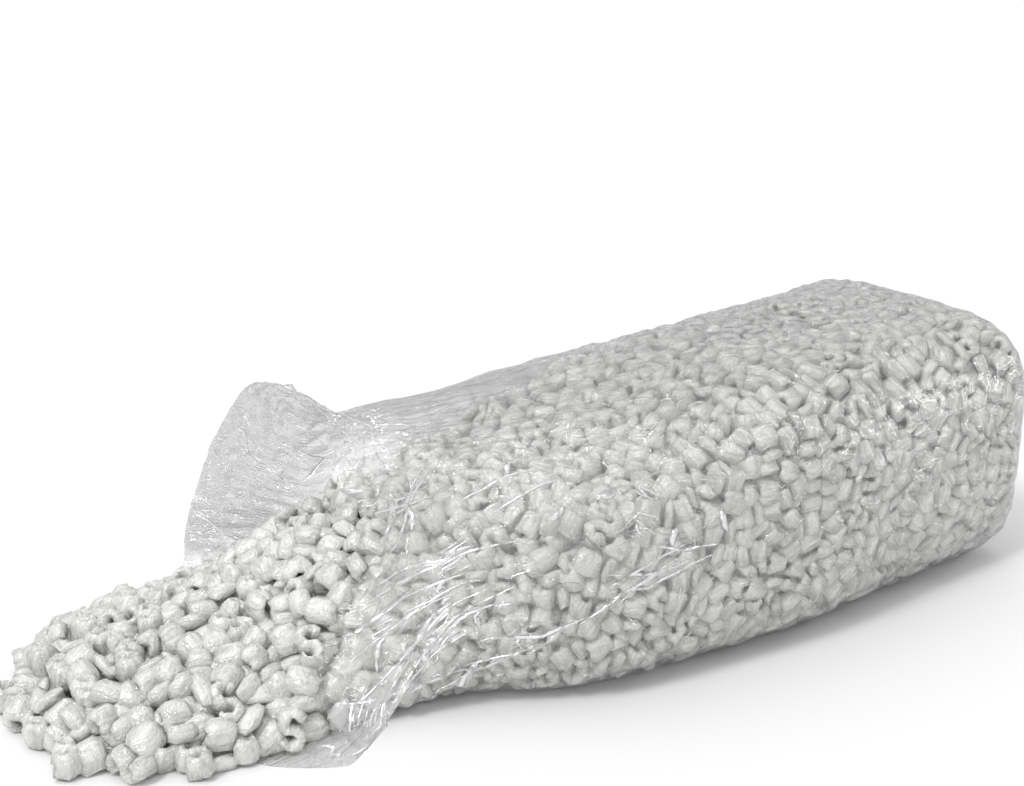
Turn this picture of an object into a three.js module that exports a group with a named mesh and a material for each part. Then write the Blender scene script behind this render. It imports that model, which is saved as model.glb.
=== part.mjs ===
// A clear film bag of foam packing peanuts, lying on its side with its mouth open and part of the
// fill poured out in front of it. Millimetres, +Z up. X runs from the mouth to the closed end, and
// the floor is z = 0.
import * as THREE from 'three';
import { mergeVertices } from 'three/addons/utils/BufferGeometryUtils.js';

// The bag is drawn from the middle of its own body; this is the middle of the whole footprint.
const FOOTPRINT_MIDDLE = new THREE.Vector2(228, 101);

// The gap kept between pieces that touch.
const TOUCHING_GAP = 0.3;

// Film: a bag about 1.33 m round, drawn far thicker than the real 0.05 mm film.
const FILM_THICKNESS = 0.8;
const CLOSED_END_X = 843;
const END_RADIUS = 42;
const FLOOR_SINK = 9;
// Sections of the lying body: x, sideways middle, width, height, squareness.
const BODY_SECTIONS = [
  [30, 105, 330, 286, 3.8],
  [150, 45, 368, 302, 4.0],
  [300, 20, 383, 317, 4.2],
  [460, 0, 388, 325, 4.1],
  [640, 0, 390, 328, 4.1],
  [CLOSED_END_X, 0, 396, 333, 4.2],
];
const MOUTH_X = BODY_SECTIONS[0][0];
// The open rim, from the middle of its lower lip, round the near side, over the top and back down.
const RIM = [
  [-190, 190, 0], [-222, 60, 0], [-207, -3, 0], [-154, -52, 0], [-126, -58, 6], [-124, 4, 34],
  [-106, 35, 70], [-77, 46, 108], [-28, 47, 146], [-8, 57, 182], [-42, 100, 246], [2, 200, 296],
  [-20, 305, 300], [-36, 384, 212], [-70, 400, 118], [-92, 388, 44], [-112, 362, 0],
];
const FILM_AROUND = 40;
const BODY_ROWS = 9;
const SKIRT_ROWS = 6;
const SKIRT_START_PULL = 0.6;
const END_ROWS = 4;
const END_FACE_SHARES = [0.35, 0.7];

// Loose fill inside the bag: its top falls away towards the mouth.
const FILL_GAP = 1.7;
const FILL_TOP = [[100, 212], [250, 246], [380, 296], [470, 330], [CLOSED_END_X, 330]];

const FILL_START_X = bodyStations().at(-2);
const FILL_START_RISE = 100;

// Poured heap, as the surface through the middles of its outermost peanuts: x, sideways middle,
// half width, height.
const HEAP_SKIN = [
  [-370, 186, 74, 15],
  [-320, 198, 134, 46],
  [-268, 197, 168, 66],
  [-216, 193, 171, 76],
  [-164, 181, 167, 88],
  [-112, 166, 158, 108],
  [-60, 148, 146, 142],
  [30, 107, 127, 190],
  [120, 60, 140, 204],
];
const HEAP_SQUARENESS = 2.3;
const CORE_DEPTH = 25;
const CORE_END_X = -342;
const CORE_ROWS = 11;
const CORE_AROUND = 20;
const CORE_OVER_SHARE = 0.6;

// Foam peanut: a ribbon bent into an S.
const PEANUT_BEND_RADIUS = 8;
const PEANUT_THICKNESS = 10;
const PEANUT_WIDTH = 25;
const PEANUT_BEVEL = 3;
const PEANUT_OPENING = THREE.MathUtils.degToRad(30);
const PEANUT_ARC_PITCH = 54;
const PEANUT_REST_HEIGHT = 14.5;
const PEANUT_YAW_RANGE = 0.9;
const PEANUT_ROWS_X = [-370, -320, -268, -216, -164, -112];
const COVERED_FLANK_X = -190;
const COVERED_FLANK_START = 96;

const filmMaterial = new THREE.MeshStandardMaterial({ color: 0xdfe4e8, roughness: 0.12, metalness: 0 });
const foamMaterial = new THREE.MeshStandardMaterial({ color: 0xeeeeec, roughness: 0.55, metalness: 0 });
const coreMaterial = new THREE.MeshStandardMaterial({ color: 0xd6d6d4, roughness: 0.8, metalness: 0 });

/** The values of a table at x, by cubic pieces whose slopes come from each row's neighbours. */
function tableAt(rows, x) {
  const last = rows.length - 1;
  const at = THREE.MathUtils.clamp(x, rows[0][0], rows[last][0]);
  let k = 0;
  while (k < last - 1 && at > rows[k + 1][0]) k += 1;
  const span = rows[k + 1][0] - rows[k][0];
  const t = (at - rows[k][0]) / span;
  const slope = (row, column) => {
    const before = rows[Math.max(row - 1, 0)];
    const after = rows[Math.min(row + 1, last)];
    return (after[column] - before[column]) / (after[0] - before[0]);
  };
  return rows[k].slice(1).map((value, i) => (
    value * (1 + 2 * t) * (1 - t) ** 2
    + rows[k + 1][i + 1] * t * t * (3 - 2 * t)
    + slope(k, i + 1) * span * t * (1 - t) ** 2
    - slope(k + 1, i + 1) * span * t * t * (1 - t)
  ));
}

/** Where the straight part of the body has its sections, from the closed end to the mouth. */
function bodyStations() {
  const straightX = CLOSED_END_X - END_RADIUS;
  const step = (MOUTH_X - straightX) / BODY_ROWS;
  return Array.from({ length: BODY_ROWS + 1 }, (_, k) => straightX + k * step);
}

/** How far a rounded square of the given squareness reaches along a direction from its middle. */
function squareReach(angle, squareness) {
  const power = Math.abs(Math.sin(angle)) ** squareness + Math.abs(Math.cos(angle)) ** squareness;
  return power ** (-1 / squareness);
}

/** A point of the body's section at x, drawn in by inset; turn goes from the bottom to the near side. */
function bodyPoint(x, turn, inset = 0) {
  const [middle, width, height, squareness] = tableAt(BODY_SECTIONS, x);
  const angle = turn * 2 * Math.PI;
  const reach = squareReach(angle, squareness);
  const side = (width / 2 - inset) * reach * Math.sin(angle);
  const rise = ((height + FLOOR_SINK) / 2 - inset) * reach * Math.cos(angle);
  return new THREE.Vector3(x, middle - side, Math.max((height - FLOOR_SINK) / 2 - rise, 0));
}

/** The section's inset where the closed end rounds off, at a distance back from the end. */
function endInset(back) {
  const drop = END_RADIUS - Math.min(back, END_RADIUS);
  return END_RADIUS - Math.sqrt(END_RADIUS ** 2 - drop ** 2);
}

/** The middle of the closed end's face, at x. */
function endMiddle(x) {
  const [middle, , height] = tableAt(BODY_SECTIONS, x);
  return new THREE.Vector3(x, middle, height / 2);
}

/** The closed end as rows of points, from its flat face out to where the body runs straight. */
function endRows(faceX, inset) {
  const face = END_FACE_SHARES.map((share) => (
    ring(FILM_AROUND, (turn) => endMiddle(faceX).lerp(bodyPoint(faceX, turn, END_RADIUS), share))
  ));
  const round = [];
  for (let k = 0; k < END_ROWS; k += 1) {
    const back = END_RADIUS * (1 - Math.cos((k / END_ROWS) * Math.PI / 2));
    round.push(ring(FILM_AROUND, (turn) => {
      const point = bodyPoint(CLOSED_END_X - back, turn, endInset(back) + inset);
      return point.setX(faceX - back);
    }));
  }
  return face.concat(round);
}

/** One closed ring of points, by turn from 0 to 1. */
function ring(around, place) {
  return Array.from({ length: around }, (_, j) => place(j / around));
}

/** The film's outer surface between the body's mouth section and the rim, at a share of the way. */
function skirtPoint(rim, turn, share) {
  const start = bodyPoint(MOUTH_X, turn);
  const end = rim.getPointAt(turn);
  const reach = end.clone().sub(start);
  const heading = start.clone().sub(bodyPoint(MOUTH_X + 1, turn)).multiplyScalar(reach.length());
  const t = share;
  const point = start.multiplyScalar((1 + 2 * t) * (1 - t) ** 2)
    .addScaledVector(end, t * t * (3 - 2 * t))
    .addScaledVector(heading, SKIRT_START_PULL * t * (1 - t) ** 2)
    .addScaledVector(reach, -t * t * (1 - t));
  return point.setZ(Math.max(point.z, 0));
}

/** The film's outer surface as rows of points, from the closed end to the rim. */
function filmRows() {
  const rim = new THREE.CatmullRomCurve3(RIM.map((p) => new THREE.Vector3(...p)), true, 'catmullrom', 0.5);
  const rows = endRows(CLOSED_END_X, 0);
  for (const x of bodyStations()) {
    rows.push(ring(FILM_AROUND, (turn) => bodyPoint(x, turn)));
  }
  for (let k = 1; k <= SKIRT_ROWS; k += 1) {
    rows.push(ring(FILM_AROUND, (turn) => skirtPoint(rim, turn, k / SKIRT_ROWS)));
  }
  return rows;
}

/** The same rows moved inwards, square to the surface, by the film's thickness. */
function innerRows(rows) {
  const last = rows.length - 1;
  const count = rows[0].length;
  return rows.map((row, i) => row.map((point, j) => {
    const along = rows[Math.min(i + 1, last)][j].clone().sub(rows[Math.max(i - 1, 0)][j]);
    const across = row[(j + 1) % count].clone().sub(row[(j + count - 1) % count]);
    const inwards = along.cross(across).normalize();
    return point.clone().addScaledVector(inwards, FILM_THICKNESS);
  }));
}

/** A closed solid from rings of points in order, with a point closing each end. */
function solidFromRings(rows, firstPole, lastPole) {
  const count = rows[0].length;
  const points = [firstPole, ...rows.flat(), lastPole];
  const index = [];
  const at = (i, j) => 1 + i * count + (j % count);
  for (let j = 0; j < count; j += 1) {
    index.push(0, at(0, j + 1), at(0, j));
    index.push(points.length - 1, at(rows.length - 1, j), at(rows.length - 1, j + 1));
  }
  for (let i = 0; i + 1 < rows.length; i += 1) {
    for (let j = 0; j < count; j += 1) {
      index.push(at(i, j), at(i + 1, j + 1), at(i + 1, j));
      index.push(at(i, j), at(i, j + 1), at(i + 1, j + 1));
    }
  }
  const geometry = new THREE.BufferGeometry().setFromPoints(points);
  geometry.setIndex(index);
  geometry.computeVertexNormals();
  return geometry;
}

/** The film bag: one thin shell with a closed end, a flat underside and an open, flared mouth. */
function filmGeometry() {
  const outer = filmRows();
  const inner = innerRows(outer);
  const rows = outer.concat(inner.reverse());
  return solidFromRings(rows, endMiddle(CLOSED_END_X), endMiddle(CLOSED_END_X - FILM_THICKNESS));
}

/** The fill that is still in the bag, clear of the film all round. */
function packedFillGeometry() {
  const gap = FILM_THICKNESS + FILL_GAP;
  const faceX = CLOSED_END_X - gap;
  const rows = endRows(faceX, gap);
  for (const x of bodyStations().slice(0, -1)) {
    rows.push(ring(FILM_AROUND, (turn) => bodyPoint(x, turn, gap)));
  }
  for (const point of rows.flat()) {
    point.z = THREE.MathUtils.clamp(point.z, gap, tableAt(FILL_TOP, point.x)[0]);
  }
  const front = new THREE.Vector3(FILL_START_X, tableAt(BODY_SECTIONS, FILL_START_X)[0], FILL_START_RISE);
  return solidFromRings(rows, endMiddle(faceX), front);
}

/** A point of the heap's skin at x, drawn in by inset; swing goes over it from front to back. */
function heapPoint(x, swing, inset = 0) {
  const [middle, halfWidth, height] = tableAt(HEAP_SKIN, x);
  const angle = swing * Math.PI;
  const reach = squareReach(angle, HEAP_SQUARENESS);
  return new THREE.Vector3(
    x,
    middle - (halfWidth - inset) * reach * Math.cos(angle),
    Math.max(height - inset, 0) * reach * Math.sin(angle),
  );
}

/** The inside of the poured heap, one peanut below its surface, flat where it lies on the floor. */
function heapCoreGeometry() {
  const bottom = FILM_THICKNESS + FILL_GAP;
  const startX = FILL_START_X - TOUCHING_GAP;
  const rows = [];
  for (let k = 0; k < CORE_ROWS; k += 1) {
    const x = THREE.MathUtils.lerp(startX, CORE_END_X, k / CORE_ROWS);
    rows.push(ring(CORE_AROUND, (turn) => {
      const over = Math.min(turn / CORE_OVER_SHARE, 1);
      const under = Math.max((turn - CORE_OVER_SHARE) / (1 - CORE_OVER_SHARE), 0);
      const point = heapPoint(x, over, CORE_DEPTH);
      point.y += under * (heapPoint(x, 0, CORE_DEPTH).y - point.y);
      return point.setZ(bottom + Math.max(point.z, 0));
    }));
  }
  const [startMiddle, , startHeight] = tableAt(HEAP_SKIN, startX);
  const [tipMiddle] = tableAt(HEAP_SKIN, CORE_END_X);
  return solidFromRings(
    rows,
    new THREE.Vector3(startX, startMiddle, startHeight / 3),
    new THREE.Vector3(CORE_END_X, tipMiddle, bottom + 3),
  );
}

/** Points along an arc, without the last one. */
function arcPoints(middle, radius, from, to, steps) {
  return Array.from({ length: steps }, (_, k) => {
    const angle = from + ((to - from) * k) / steps;
    return new THREE.Vector2(Math.cos(angle), Math.sin(angle)).multiplyScalar(radius).add(middle);
  });
}

/** Outline of a peanut seen along its width: a ribbon round two bends, with rounded ends. */
function peanutShape() {
  const half = PEANUT_THICKNESS / 2;
  const bend = new THREE.Vector2(0, PEANUT_BEND_RADIUS);
  const otherBend = bend.clone().negate();
  const open = PEANUT_OPENING;
  const tip = new THREE.Vector2(Math.cos(open), Math.sin(open)).multiplyScalar(-PEANUT_BEND_RADIUS);
  const halfOutline = [
    ...arcPoints(bend, PEANUT_BEND_RADIUS + half, open, 1.5 * Math.PI, 5),
    ...arcPoints(otherBend, PEANUT_BEND_RADIUS - half, 0.5 * Math.PI, open - Math.PI, 3),
    ...arcPoints(tip.add(otherBend), half, open, open + Math.PI, 2),
  ];
  return new THREE.Shape(halfOutline.concat(halfOutline.map((point) => point.clone().negate())));
}

/** A whole peanut about its own middle: long axis Y, width Z. */
function peanutGeometry() {
  const geometry = new THREE.ExtrudeGeometry(peanutShape(), {
    depth: PEANUT_WIDTH - 2 * PEANUT_BEVEL,
    bevelSize: PEANUT_BEVEL,
    bevelOffset: -PEANUT_BEVEL,
    bevelThickness: PEANUT_BEVEL,
    bevelSegments: 1,
  });
  geometry.center();
  geometry.deleteAttribute('normal');
  geometry.deleteAttribute('uv');
  const merged = mergeVertices(geometry, 1e-3);
  merged.computeVertexNormals();
  return merged;
}

/** A repeatable number from 0 to 1 for a peanut's number and a use of it. */
function scatter(number, use) {
  const wave = Math.sin(number * 12.9898 + use * 78.233) * 437.5453;
  return wave - Math.floor(wave);
}

/** The swings over the heap at x that put peanuts one pitch apart, front to back. */
function swingsAcross(x) {
  const first = x > COVERED_FLANK_X ? COVERED_FLANK_START : 0;
  const marks = [];
  let walked = 0;
  let previous = heapPoint(x, 0);
  const steps = 400;
  for (let k = 1; k <= steps; k += 1) {
    const point = heapPoint(x, k / steps);
    walked += point.distanceTo(previous);
    previous = point;
    marks.push(walked);
  }
  const usable = walked - first;
  const count = Math.max(Math.floor(usable / PEANUT_ARC_PITCH), 1);
  return Array.from({ length: count + 1 }, (_, j) => {
    const wanted = first + (usable * j) / count;
    return (marks.findIndex((mark) => mark >= wanted - 1e-6) + 1) / steps;
  });
}

/** A peanut mesh laid on the heap at x and swing, turned by its own number. */
function placedPeanut(geometry, number, x, swing) {
  const mesh = new THREE.Mesh(geometry, foamMaterial);
  mesh.name = `peanut_${String(number).padStart(2, '0')}`;
  const place = heapPoint(x, swing);
  place.z = Math.max(place.z, PEANUT_REST_HEIGHT);
  mesh.position.copy(place);
  const slope = heapPoint(x, swing + 0.01).sub(heapPoint(x, swing - 0.01));
  const tilt = place.z > 2 * PEANUT_REST_HEIGHT ? Math.atan2(slope.z, slope.y) : 0;
  mesh.rotation.set(tilt, 0, (scatter(number, 1) - 0.5) * PEANUT_YAW_RANGE, 'ZXY');
  mesh.rotateY(scatter(number, 2) < 0.5 ? 0 : Math.PI / 2);
  return mesh;
}

/** Every whole peanut of the heap's outer layer, row by row from its far tip. */
function heapPeanuts() {
  const geometry = peanutGeometry();
  const peanuts = [];
  for (const x of PEANUT_ROWS_X) {
    for (const swing of swingsAcross(x)) {
      peanuts.push(placedPeanut(geometry, peanuts.length + 1, x, swing));
    }
  }
  return peanuts;
}

/** A named mesh of one geometry and material. */
function piece(name, geometry, material) {
  const mesh = new THREE.Mesh(geometry, material);
  mesh.name = name;
  return mesh;
}

const packingPeanutBag = new THREE.Group();
packingPeanutBag.add(piece('bag_film', filmGeometry(), filmMaterial));
packingPeanutBag.add(piece('packed_fill', packedFillGeometry(), coreMaterial));
packingPeanutBag.add(piece('heap_core', heapCoreGeometry(), coreMaterial));
packingPeanutBag.add(...heapPeanuts());
packingPeanutBag.position.set(-FOOTPRINT_MIDDLE.x, -FOOTPRINT_MIDDLE.y, 0);

export default packingPeanutBag;
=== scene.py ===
"""A clear film bag of foam packing peanuts, lying open with part of its fill poured out in front.

Metres, +Z up. X runs from the open mouth to the closed end, and the floor is z = 0. The bag is drawn
from the middle of its own body, and FOOTPRINT_MIDDLE moves it to the middle of the whole footprint.
"""

import logging
import math
from dataclasses import dataclass, field
from enum import Enum
from itertools import product
from typing import Sequence

import bpy
import numpy as np
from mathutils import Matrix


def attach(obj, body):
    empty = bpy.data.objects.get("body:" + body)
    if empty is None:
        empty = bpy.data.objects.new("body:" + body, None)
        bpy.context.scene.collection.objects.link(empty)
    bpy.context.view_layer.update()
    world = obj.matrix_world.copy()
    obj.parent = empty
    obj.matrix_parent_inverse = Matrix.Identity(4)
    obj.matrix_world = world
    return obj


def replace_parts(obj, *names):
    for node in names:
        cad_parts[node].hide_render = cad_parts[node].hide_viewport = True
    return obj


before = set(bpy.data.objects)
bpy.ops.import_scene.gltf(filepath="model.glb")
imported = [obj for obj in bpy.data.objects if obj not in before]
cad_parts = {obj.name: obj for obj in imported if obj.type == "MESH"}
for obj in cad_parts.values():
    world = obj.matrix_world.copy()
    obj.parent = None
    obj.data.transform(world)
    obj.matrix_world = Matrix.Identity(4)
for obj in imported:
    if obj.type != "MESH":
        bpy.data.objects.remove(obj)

LOG = logging.getLogger("packing_peanut_bag")
Array = np.ndarray
MM = 0.001
FOOTPRINT_MIDDLE = np.array([228.0, 101.0, 0.0]) * MM
PRESS_GAP = 0.0010


# --------------------------------------------------------------------------- shared shape formulas


def cubic(start: Array, end: Array, leaving: Array, arriving: Array, t: Array) -> Array:
    """The cubic from start, at t 0, to end, at t 1, with the given slopes there."""
    straight = start * (1 + 2 * t) * (1 - t) ** 2 + end * t * t * (3 - 2 * t)
    return straight + leaving * t * (1 - t) ** 2 - arriving * t * t * (1 - t)


@dataclass(frozen=True)
class Table:
    """Values against x, joined by cubic pieces whose slopes come from each row's neighbours.

    Attributes:
        rows: One tuple per row, x first, in millimetres.
        plain: How many of the last columns are plain numbers and keep their unit.
    """

    rows: Sequence[tuple[float, ...]]
    plain: int = 0

    def at(self, x: Array) -> tuple[Array, ...]:
        """The values at x.

        Args:
            x: Places along the bag, in metres.

        Returns:
            One array per column after the first, in metres unless plain.
        """
        rows = np.array(self.rows, float)
        scale = np.full(rows.shape[1], MM)
        if self.plain:
            scale[-self.plain:] = 1.0
        rows = rows * scale
        marks, values = rows[:, 0], rows[:, 1:]
        index = np.arange(len(marks))
        before = np.maximum(index - 1, 0)
        after = np.minimum(index + 1, len(marks) - 1)
        slopes = (values[after] - values[before]) / (marks[after] - marks[before])[:, None]
        place = np.clip(np.asarray(x, float), marks[0], marks[-1])
        k = np.clip(np.searchsorted(marks, place, side="left") - 1, 0, len(marks) - 2)
        span = (marks[k + 1] - marks[k])[..., None]
        t = (place - marks[k])[..., None] / span
        mixed = cubic(values[k], values[k + 1], slopes[k] * span, slopes[k + 1] * span, t)
        return tuple(np.moveaxis(mixed, -1, 0))


def square_reach(angle: Array, squareness: Array | float) -> Array:
    """How far a rounded square reaches along a direction: (|sin|^n + |cos|^n)^(-1/n)."""
    power = np.abs(np.sin(angle)) ** squareness + np.abs(np.cos(angle)) ** squareness
    return power ** (-1.0 / squareness)


def smooth_step(low: float, high: float, value: Array) -> Array:
    """0 below low, 1 above high, and 3t^2 - 2t^3 between them."""
    t = np.clip((value - low) / (high - low), 0.0, 1.0)
    return t * t * (3 - 2 * t)


def unit(vectors: Array) -> Array:
    """The vectors of the last axis, each divided by its length."""
    return vectors / np.maximum(np.linalg.norm(vectors, axis=-1, keepdims=True), 1e-12)


def scale_back(across: Array, rise: Array, half_width: Array, half_height: Array, power: Array) -> Array:
    """What brings points beyond a rounded square straight back onto it.

    A point is beyond it where |across/half_width|^n + |rise/half_height|^n is over 1.

    Args:
        across: The points' places sideways from the middle.
        rise: Their places upwards from it.
        half_width: Half the rounded square's width.
        half_height: Half its height.
        power: n, which says how square it is.

    Returns:
        That sum to the power -1/n for points beyond it, and 1 for the others.
    """
    over = np.abs(across / half_width) ** power + np.abs(rise / half_height) ** power
    return np.where(over > 1, np.maximum(over, 1e-9) ** (-1 / power), 1.0)


def rotation(axis: int, angle: float) -> Array:
    """The matrix that turns by an angle about X, Y or Z, which are axes 0, 1 and 2.

    Args:
        axis: The axis's number.
        angle: The angle, in radians.

    Returns:
        The 3 by 3 matrix.
    """
    matrix = np.eye(3)
    i, j = (axis + 1) % 3, (axis + 2) % 3
    matrix[i, i] = matrix[j, j] = math.cos(angle)
    matrix[j, i] = math.sin(angle)
    matrix[i, j] = -math.sin(angle)
    return matrix


@dataclass
class Cubes:
    """Points sorted into equal cubes, so that those near a place are found fast.

    Attributes:
        cells: Each point's cube, as whole numbers from 1 along X, Y and Z.
        span: How many cubes there are along each axis, with one to spare at both ends.
    """

    cells: Array
    span: Array

    def __post_init__(self) -> None:
        """Sorts the points by their cube."""
        keys = self.keys(self.cells)
        self.order = np.argsort(keys, kind="stable")
        self.sorted_keys = keys[self.order]

    def keys(self, cells: Array) -> Array:
        """One whole number for each cube: (i times the span along Y + j) times that along Z + k."""
        return (cells[:, 0] * self.span[1] + cells[:, 1]) * self.span[2] + cells[:, 2]

    def found(self, cells: Array) -> tuple[Array, Array]:
        """The points in the given cubes.

        Args:
            cells: One cube per seeker.

        Returns:
            The numbers of the seekers and of the points that they find, one pair for each find.
        """
        wanted = self.keys(cells)
        start = np.searchsorted(self.sorted_keys, wanted, "left")
        count = np.searchsorted(self.sorted_keys, wanted, "right") - start
        seeker = np.repeat(np.arange(len(wanted)), count)
        step = np.arange(count.sum()) - np.repeat(np.cumsum(count) - count, count)
        return seeker, self.order[np.repeat(start, count) + step]


@dataclass
class BagForm:
    """The lying bag's outer surface: rounded square sections, a rounded closed end, a flared skirt.

    Attributes:
        closed_end_x: Where the closed end's face is.
        end_radius: How round the closed end's edge is.
        floor_sink: How much of a section's rounding the floor cuts off.
        skirt_start_pull: How far the skirt goes on straight along the body.
        sections: Middle, width, height and squareness along the bag.
        rim: Points of the open rim, once round from the front floor, in millimetres.
        rim_steps: How finely the rim is walked between two of its points.
        fill_top: How high the fill reaches along the bag.
    """

    closed_end_x: float = 0.843
    end_radius: float = 0.042
    floor_sink: float = 0.009
    skirt_start_pull: float = 0.6
    sections: Table = Table(
        (
            (30, 105, 330, 286, 3.8),
            (150, 45, 368, 302, 4.0),
            (300, 20, 383, 317, 4.2),
            (460, 0, 388, 325, 4.1),
            (640, 0, 390, 328, 4.1),
            (843, 0, 396, 333, 4.2),
        ),
        plain=1,
    )
    rim: Sequence[tuple[float, float, float]] = (
        (-190, 190, 0), (-222, 60, 0), (-207, -3, 0), (-154, -52, 0), (-126, -58, 6), (-124, 4, 34),
        (-106, 35, 70), (-77, 46, 108), (-28, 47, 146), (-8, 57, 182), (-42, 100, 246), (2, 200, 296),
        (-20, 305, 300), (-36, 384, 212), (-70, 400, 118), (-92, 388, 44), (-112, 362, 0),
    )
    rim_steps: int = 60
    fill_top: Table = Table(((100, 212), (250, 246), (380, 296), (470, 330), (843, 330)))

    @property
    def mouth_x(self) -> float:
        """Where the body ends and the skirt begins."""
        return self.sections.rows[0][0] * MM

    def body(self, x: Array, turn: Array, inset: Array | float = 0.0) -> Array:
        """Points of the body's sections.

        Each is middle - (width/2 - inset) r sin a sideways and the matching cosine upwards, where r is
        the rounded square's reach, with the underside cut flat at the floor.

        Args:
            x: Places along the bag.
            turn: 0 at the bottom, rising past the near side, the top and the far side to 1.
            inset: How far inside the film, in metres.

        Returns:
            Points, with the arguments' broadcast shape and a last axis of 3.
        """
        x, turn, inset = np.broadcast_arrays(np.asarray(x, float), turn, inset)
        middle, width, height, squareness = self.sections.at(x)
        angle = turn * 2 * np.pi
        reach = square_reach(angle, squareness)
        side = (width / 2 - inset) * reach * np.sin(angle)
        rise = ((height + self.floor_sink) / 2 - inset) * reach * np.cos(angle)
        lift = np.maximum((height - self.floor_sink) / 2 - rise, 0.0)
        return np.stack([x, middle - side, lift], axis=-1)

    def end_inset(self, back: Array) -> Array:
        """The section's inset at a distance back from the closed end: a quarter circle's drop."""
        drop = self.end_radius - np.clip(back, 0.0, self.end_radius)
        return self.end_radius - np.sqrt(np.maximum(self.end_radius**2 - drop**2, 0.0))

    def rim_points(self, turn: Array) -> Array:
        """The open rim at equal shares of its length: a closed Catmull-Rom curve of its points.

        Args:
            turn: The way round, as shares of the rim's length.

        Returns:
            One point per share.
        """
        knots = np.array(self.rim, float) * MM
        count = len(knots)
        steps = np.linspace(0, count, count * self.rim_steps, endpoint=False)
        k = steps.astype(int)
        t = (steps - k)[:, None]
        p0, p1, p2, p3 = (knots[(k + shift) % count] for shift in (-1, 0, 1, 2))
        curve = p1 + 0.5 * t * (
            p2 - p0 + t * (2 * p0 - 5 * p1 + 4 * p2 - p3 + t * (3 * (p1 - p2) + p3 - p0))
        )
        closed = np.vstack([curve, curve[:1]])
        walked = np.concatenate([[0.0], np.cumsum(np.linalg.norm(np.diff(closed, axis=0), axis=1))])
        shares = walked / walked[-1]
        return np.stack([np.interp(turn, shares, closed[:, axis]) for axis in range(3)], axis=-1)

    def skirt(self, turn: Array, share: Array) -> Array:
        """Points between the mouth's section and the rim: a cubic that leaves along the body.

        Args:
            turn: The way round, one value per column.
            share: 0 at the mouth's section, 1 at the rim, one value per row.

        Returns:
            Points of shape (rows, columns, 3).
        """
        start = self.body(self.mouth_x, turn)
        end = self.rim_points(turn)
        reach = end - start
        length = np.linalg.norm(reach, axis=-1, keepdims=True)
        heading = (start - self.body(self.mouth_x + MM, turn)) / MM * length
        t = np.asarray(share)[:, None, None]
        points = cubic(start, end, self.skirt_start_pull * heading, reach, t)
        points[..., 2] = np.maximum(points[..., 2], 0.0)
        return points

    def film_grid(self, around: int, rows: Sequence[int]) -> Array:
        """The whole film as rows of points, from just outside the closed end's middle to the rim.

        Args:
            around: Points in each row.
            rows: How many rows the end's face, its rounding, the body and the skirt have.

        Returns:
            Points of shape (rows, around, 3).
        """
        face_rows, round_rows, body_rows, skirt_rows = rows
        turn = np.arange(around) / around
        edge = self.body(self.closed_end_x, turn, self.end_radius)
        middle = self.end_middle()
        share = (np.arange(1, face_rows + 1) / (face_rows + 1))[:, None, None]
        face = middle + (edge - middle) * share
        back = self.end_radius * (1 - np.cos(np.linspace(0, np.pi / 2, round_rows, endpoint=False)))
        rounding = self.body((self.closed_end_x - back)[:, None], turn, self.end_inset(back)[:, None])
        straight = np.linspace(self.closed_end_x - self.end_radius, self.mouth_x, body_rows)
        body = self.body(straight[:, None], turn)
        skirt = self.skirt(turn, np.arange(1, skirt_rows + 1) / skirt_rows)
        return np.concatenate([face, rounding, body, skirt])

    def pressed(self, points: Array, gap: float) -> Array:
        """Flattens what lies beyond the film against it.

        Args:
            points: Places in and around the bag.
            gap: How far inside the film they stop.

        Returns:
            The same places, those outside the body's sections scaled back onto them.
        """
        kept = points.copy()
        kept[:, 2] = np.maximum(kept[:, 2], gap)
        chosen = kept[:, 0] > self.mouth_x
        x = np.minimum(kept[chosen, 0], self.closed_end_x - gap)
        middle, width, height, squareness = self.sections.at(x)
        inset = gap + self.end_inset(self.closed_end_x - gap - x)
        centre = (height - self.floor_sink) / 2
        across = kept[chosen, 1] - middle
        rise = kept[chosen, 2] - centre
        half_width = width / 2 - inset
        half_height = (height + self.floor_sink) / 2 - inset
        scale = scale_back(across, rise, half_width, half_height, squareness)
        lift = np.maximum(centre + rise * scale, gap)
        kept[chosen] = np.stack([x, middle + across * scale, lift], 1)
        return kept

    def end_middle(self) -> Array:
        """The middle of the closed end's face."""
        middle, _, height, _ = self.sections.at(np.array(self.closed_end_x))
        return np.array([self.closed_end_x, float(middle), float(height) / 2])


HEAP_TIP = (
    (-370, 186, 74, 15),
    (-320, 198, 134, 46),
    (-268, 197, 168, 66),
    (-216, 193, 171, 76),
    (-164, 181, 167, 88),
    (-112, 166, 158, 108),
)


@dataclass
class HeapForm:
    """The poured heap's skin, through the middles of its outermost peanuts.

    Attributes:
        squareness: The power of its rounded sections.
        skin: Middle, half width and height along the bag.
    """

    squareness: float = 2.3
    skin: Table = Table((*HEAP_TIP, (-60, 148, 146, 142), (30, 107, 127, 190), (120, 60, 140, 204)))

    def point(self, x: Array, swing: Array) -> Array:
        """Points of the skin; swing goes over it from the front floor, 0, to the back floor, 1.

        Args:
            x: Places along the bag.
            swing: The way over the heap.

        Returns:
            Points, with the arguments' broadcast shape and a last axis of 3.
        """
        x, swing = np.broadcast_arrays(np.asarray(x, float), swing)
        middle, half, height = self.skin.at(x)
        angle = swing * np.pi
        reach = square_reach(angle, self.squareness)
        across = middle - half * reach * np.cos(angle)
        return np.stack([x, across, height * reach * np.sin(angle)], axis=-1)


# ------------------------------------------------------------------------------------- mesh helpers


@dataclass
class Grid:
    """A mesh under construction: points, faces, flat coordinates and named numbers per point."""

    points: Array
    faces: list[Array]
    flat: Array | None = None
    marks: dict[str, Array] = field(default_factory=dict)


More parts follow.
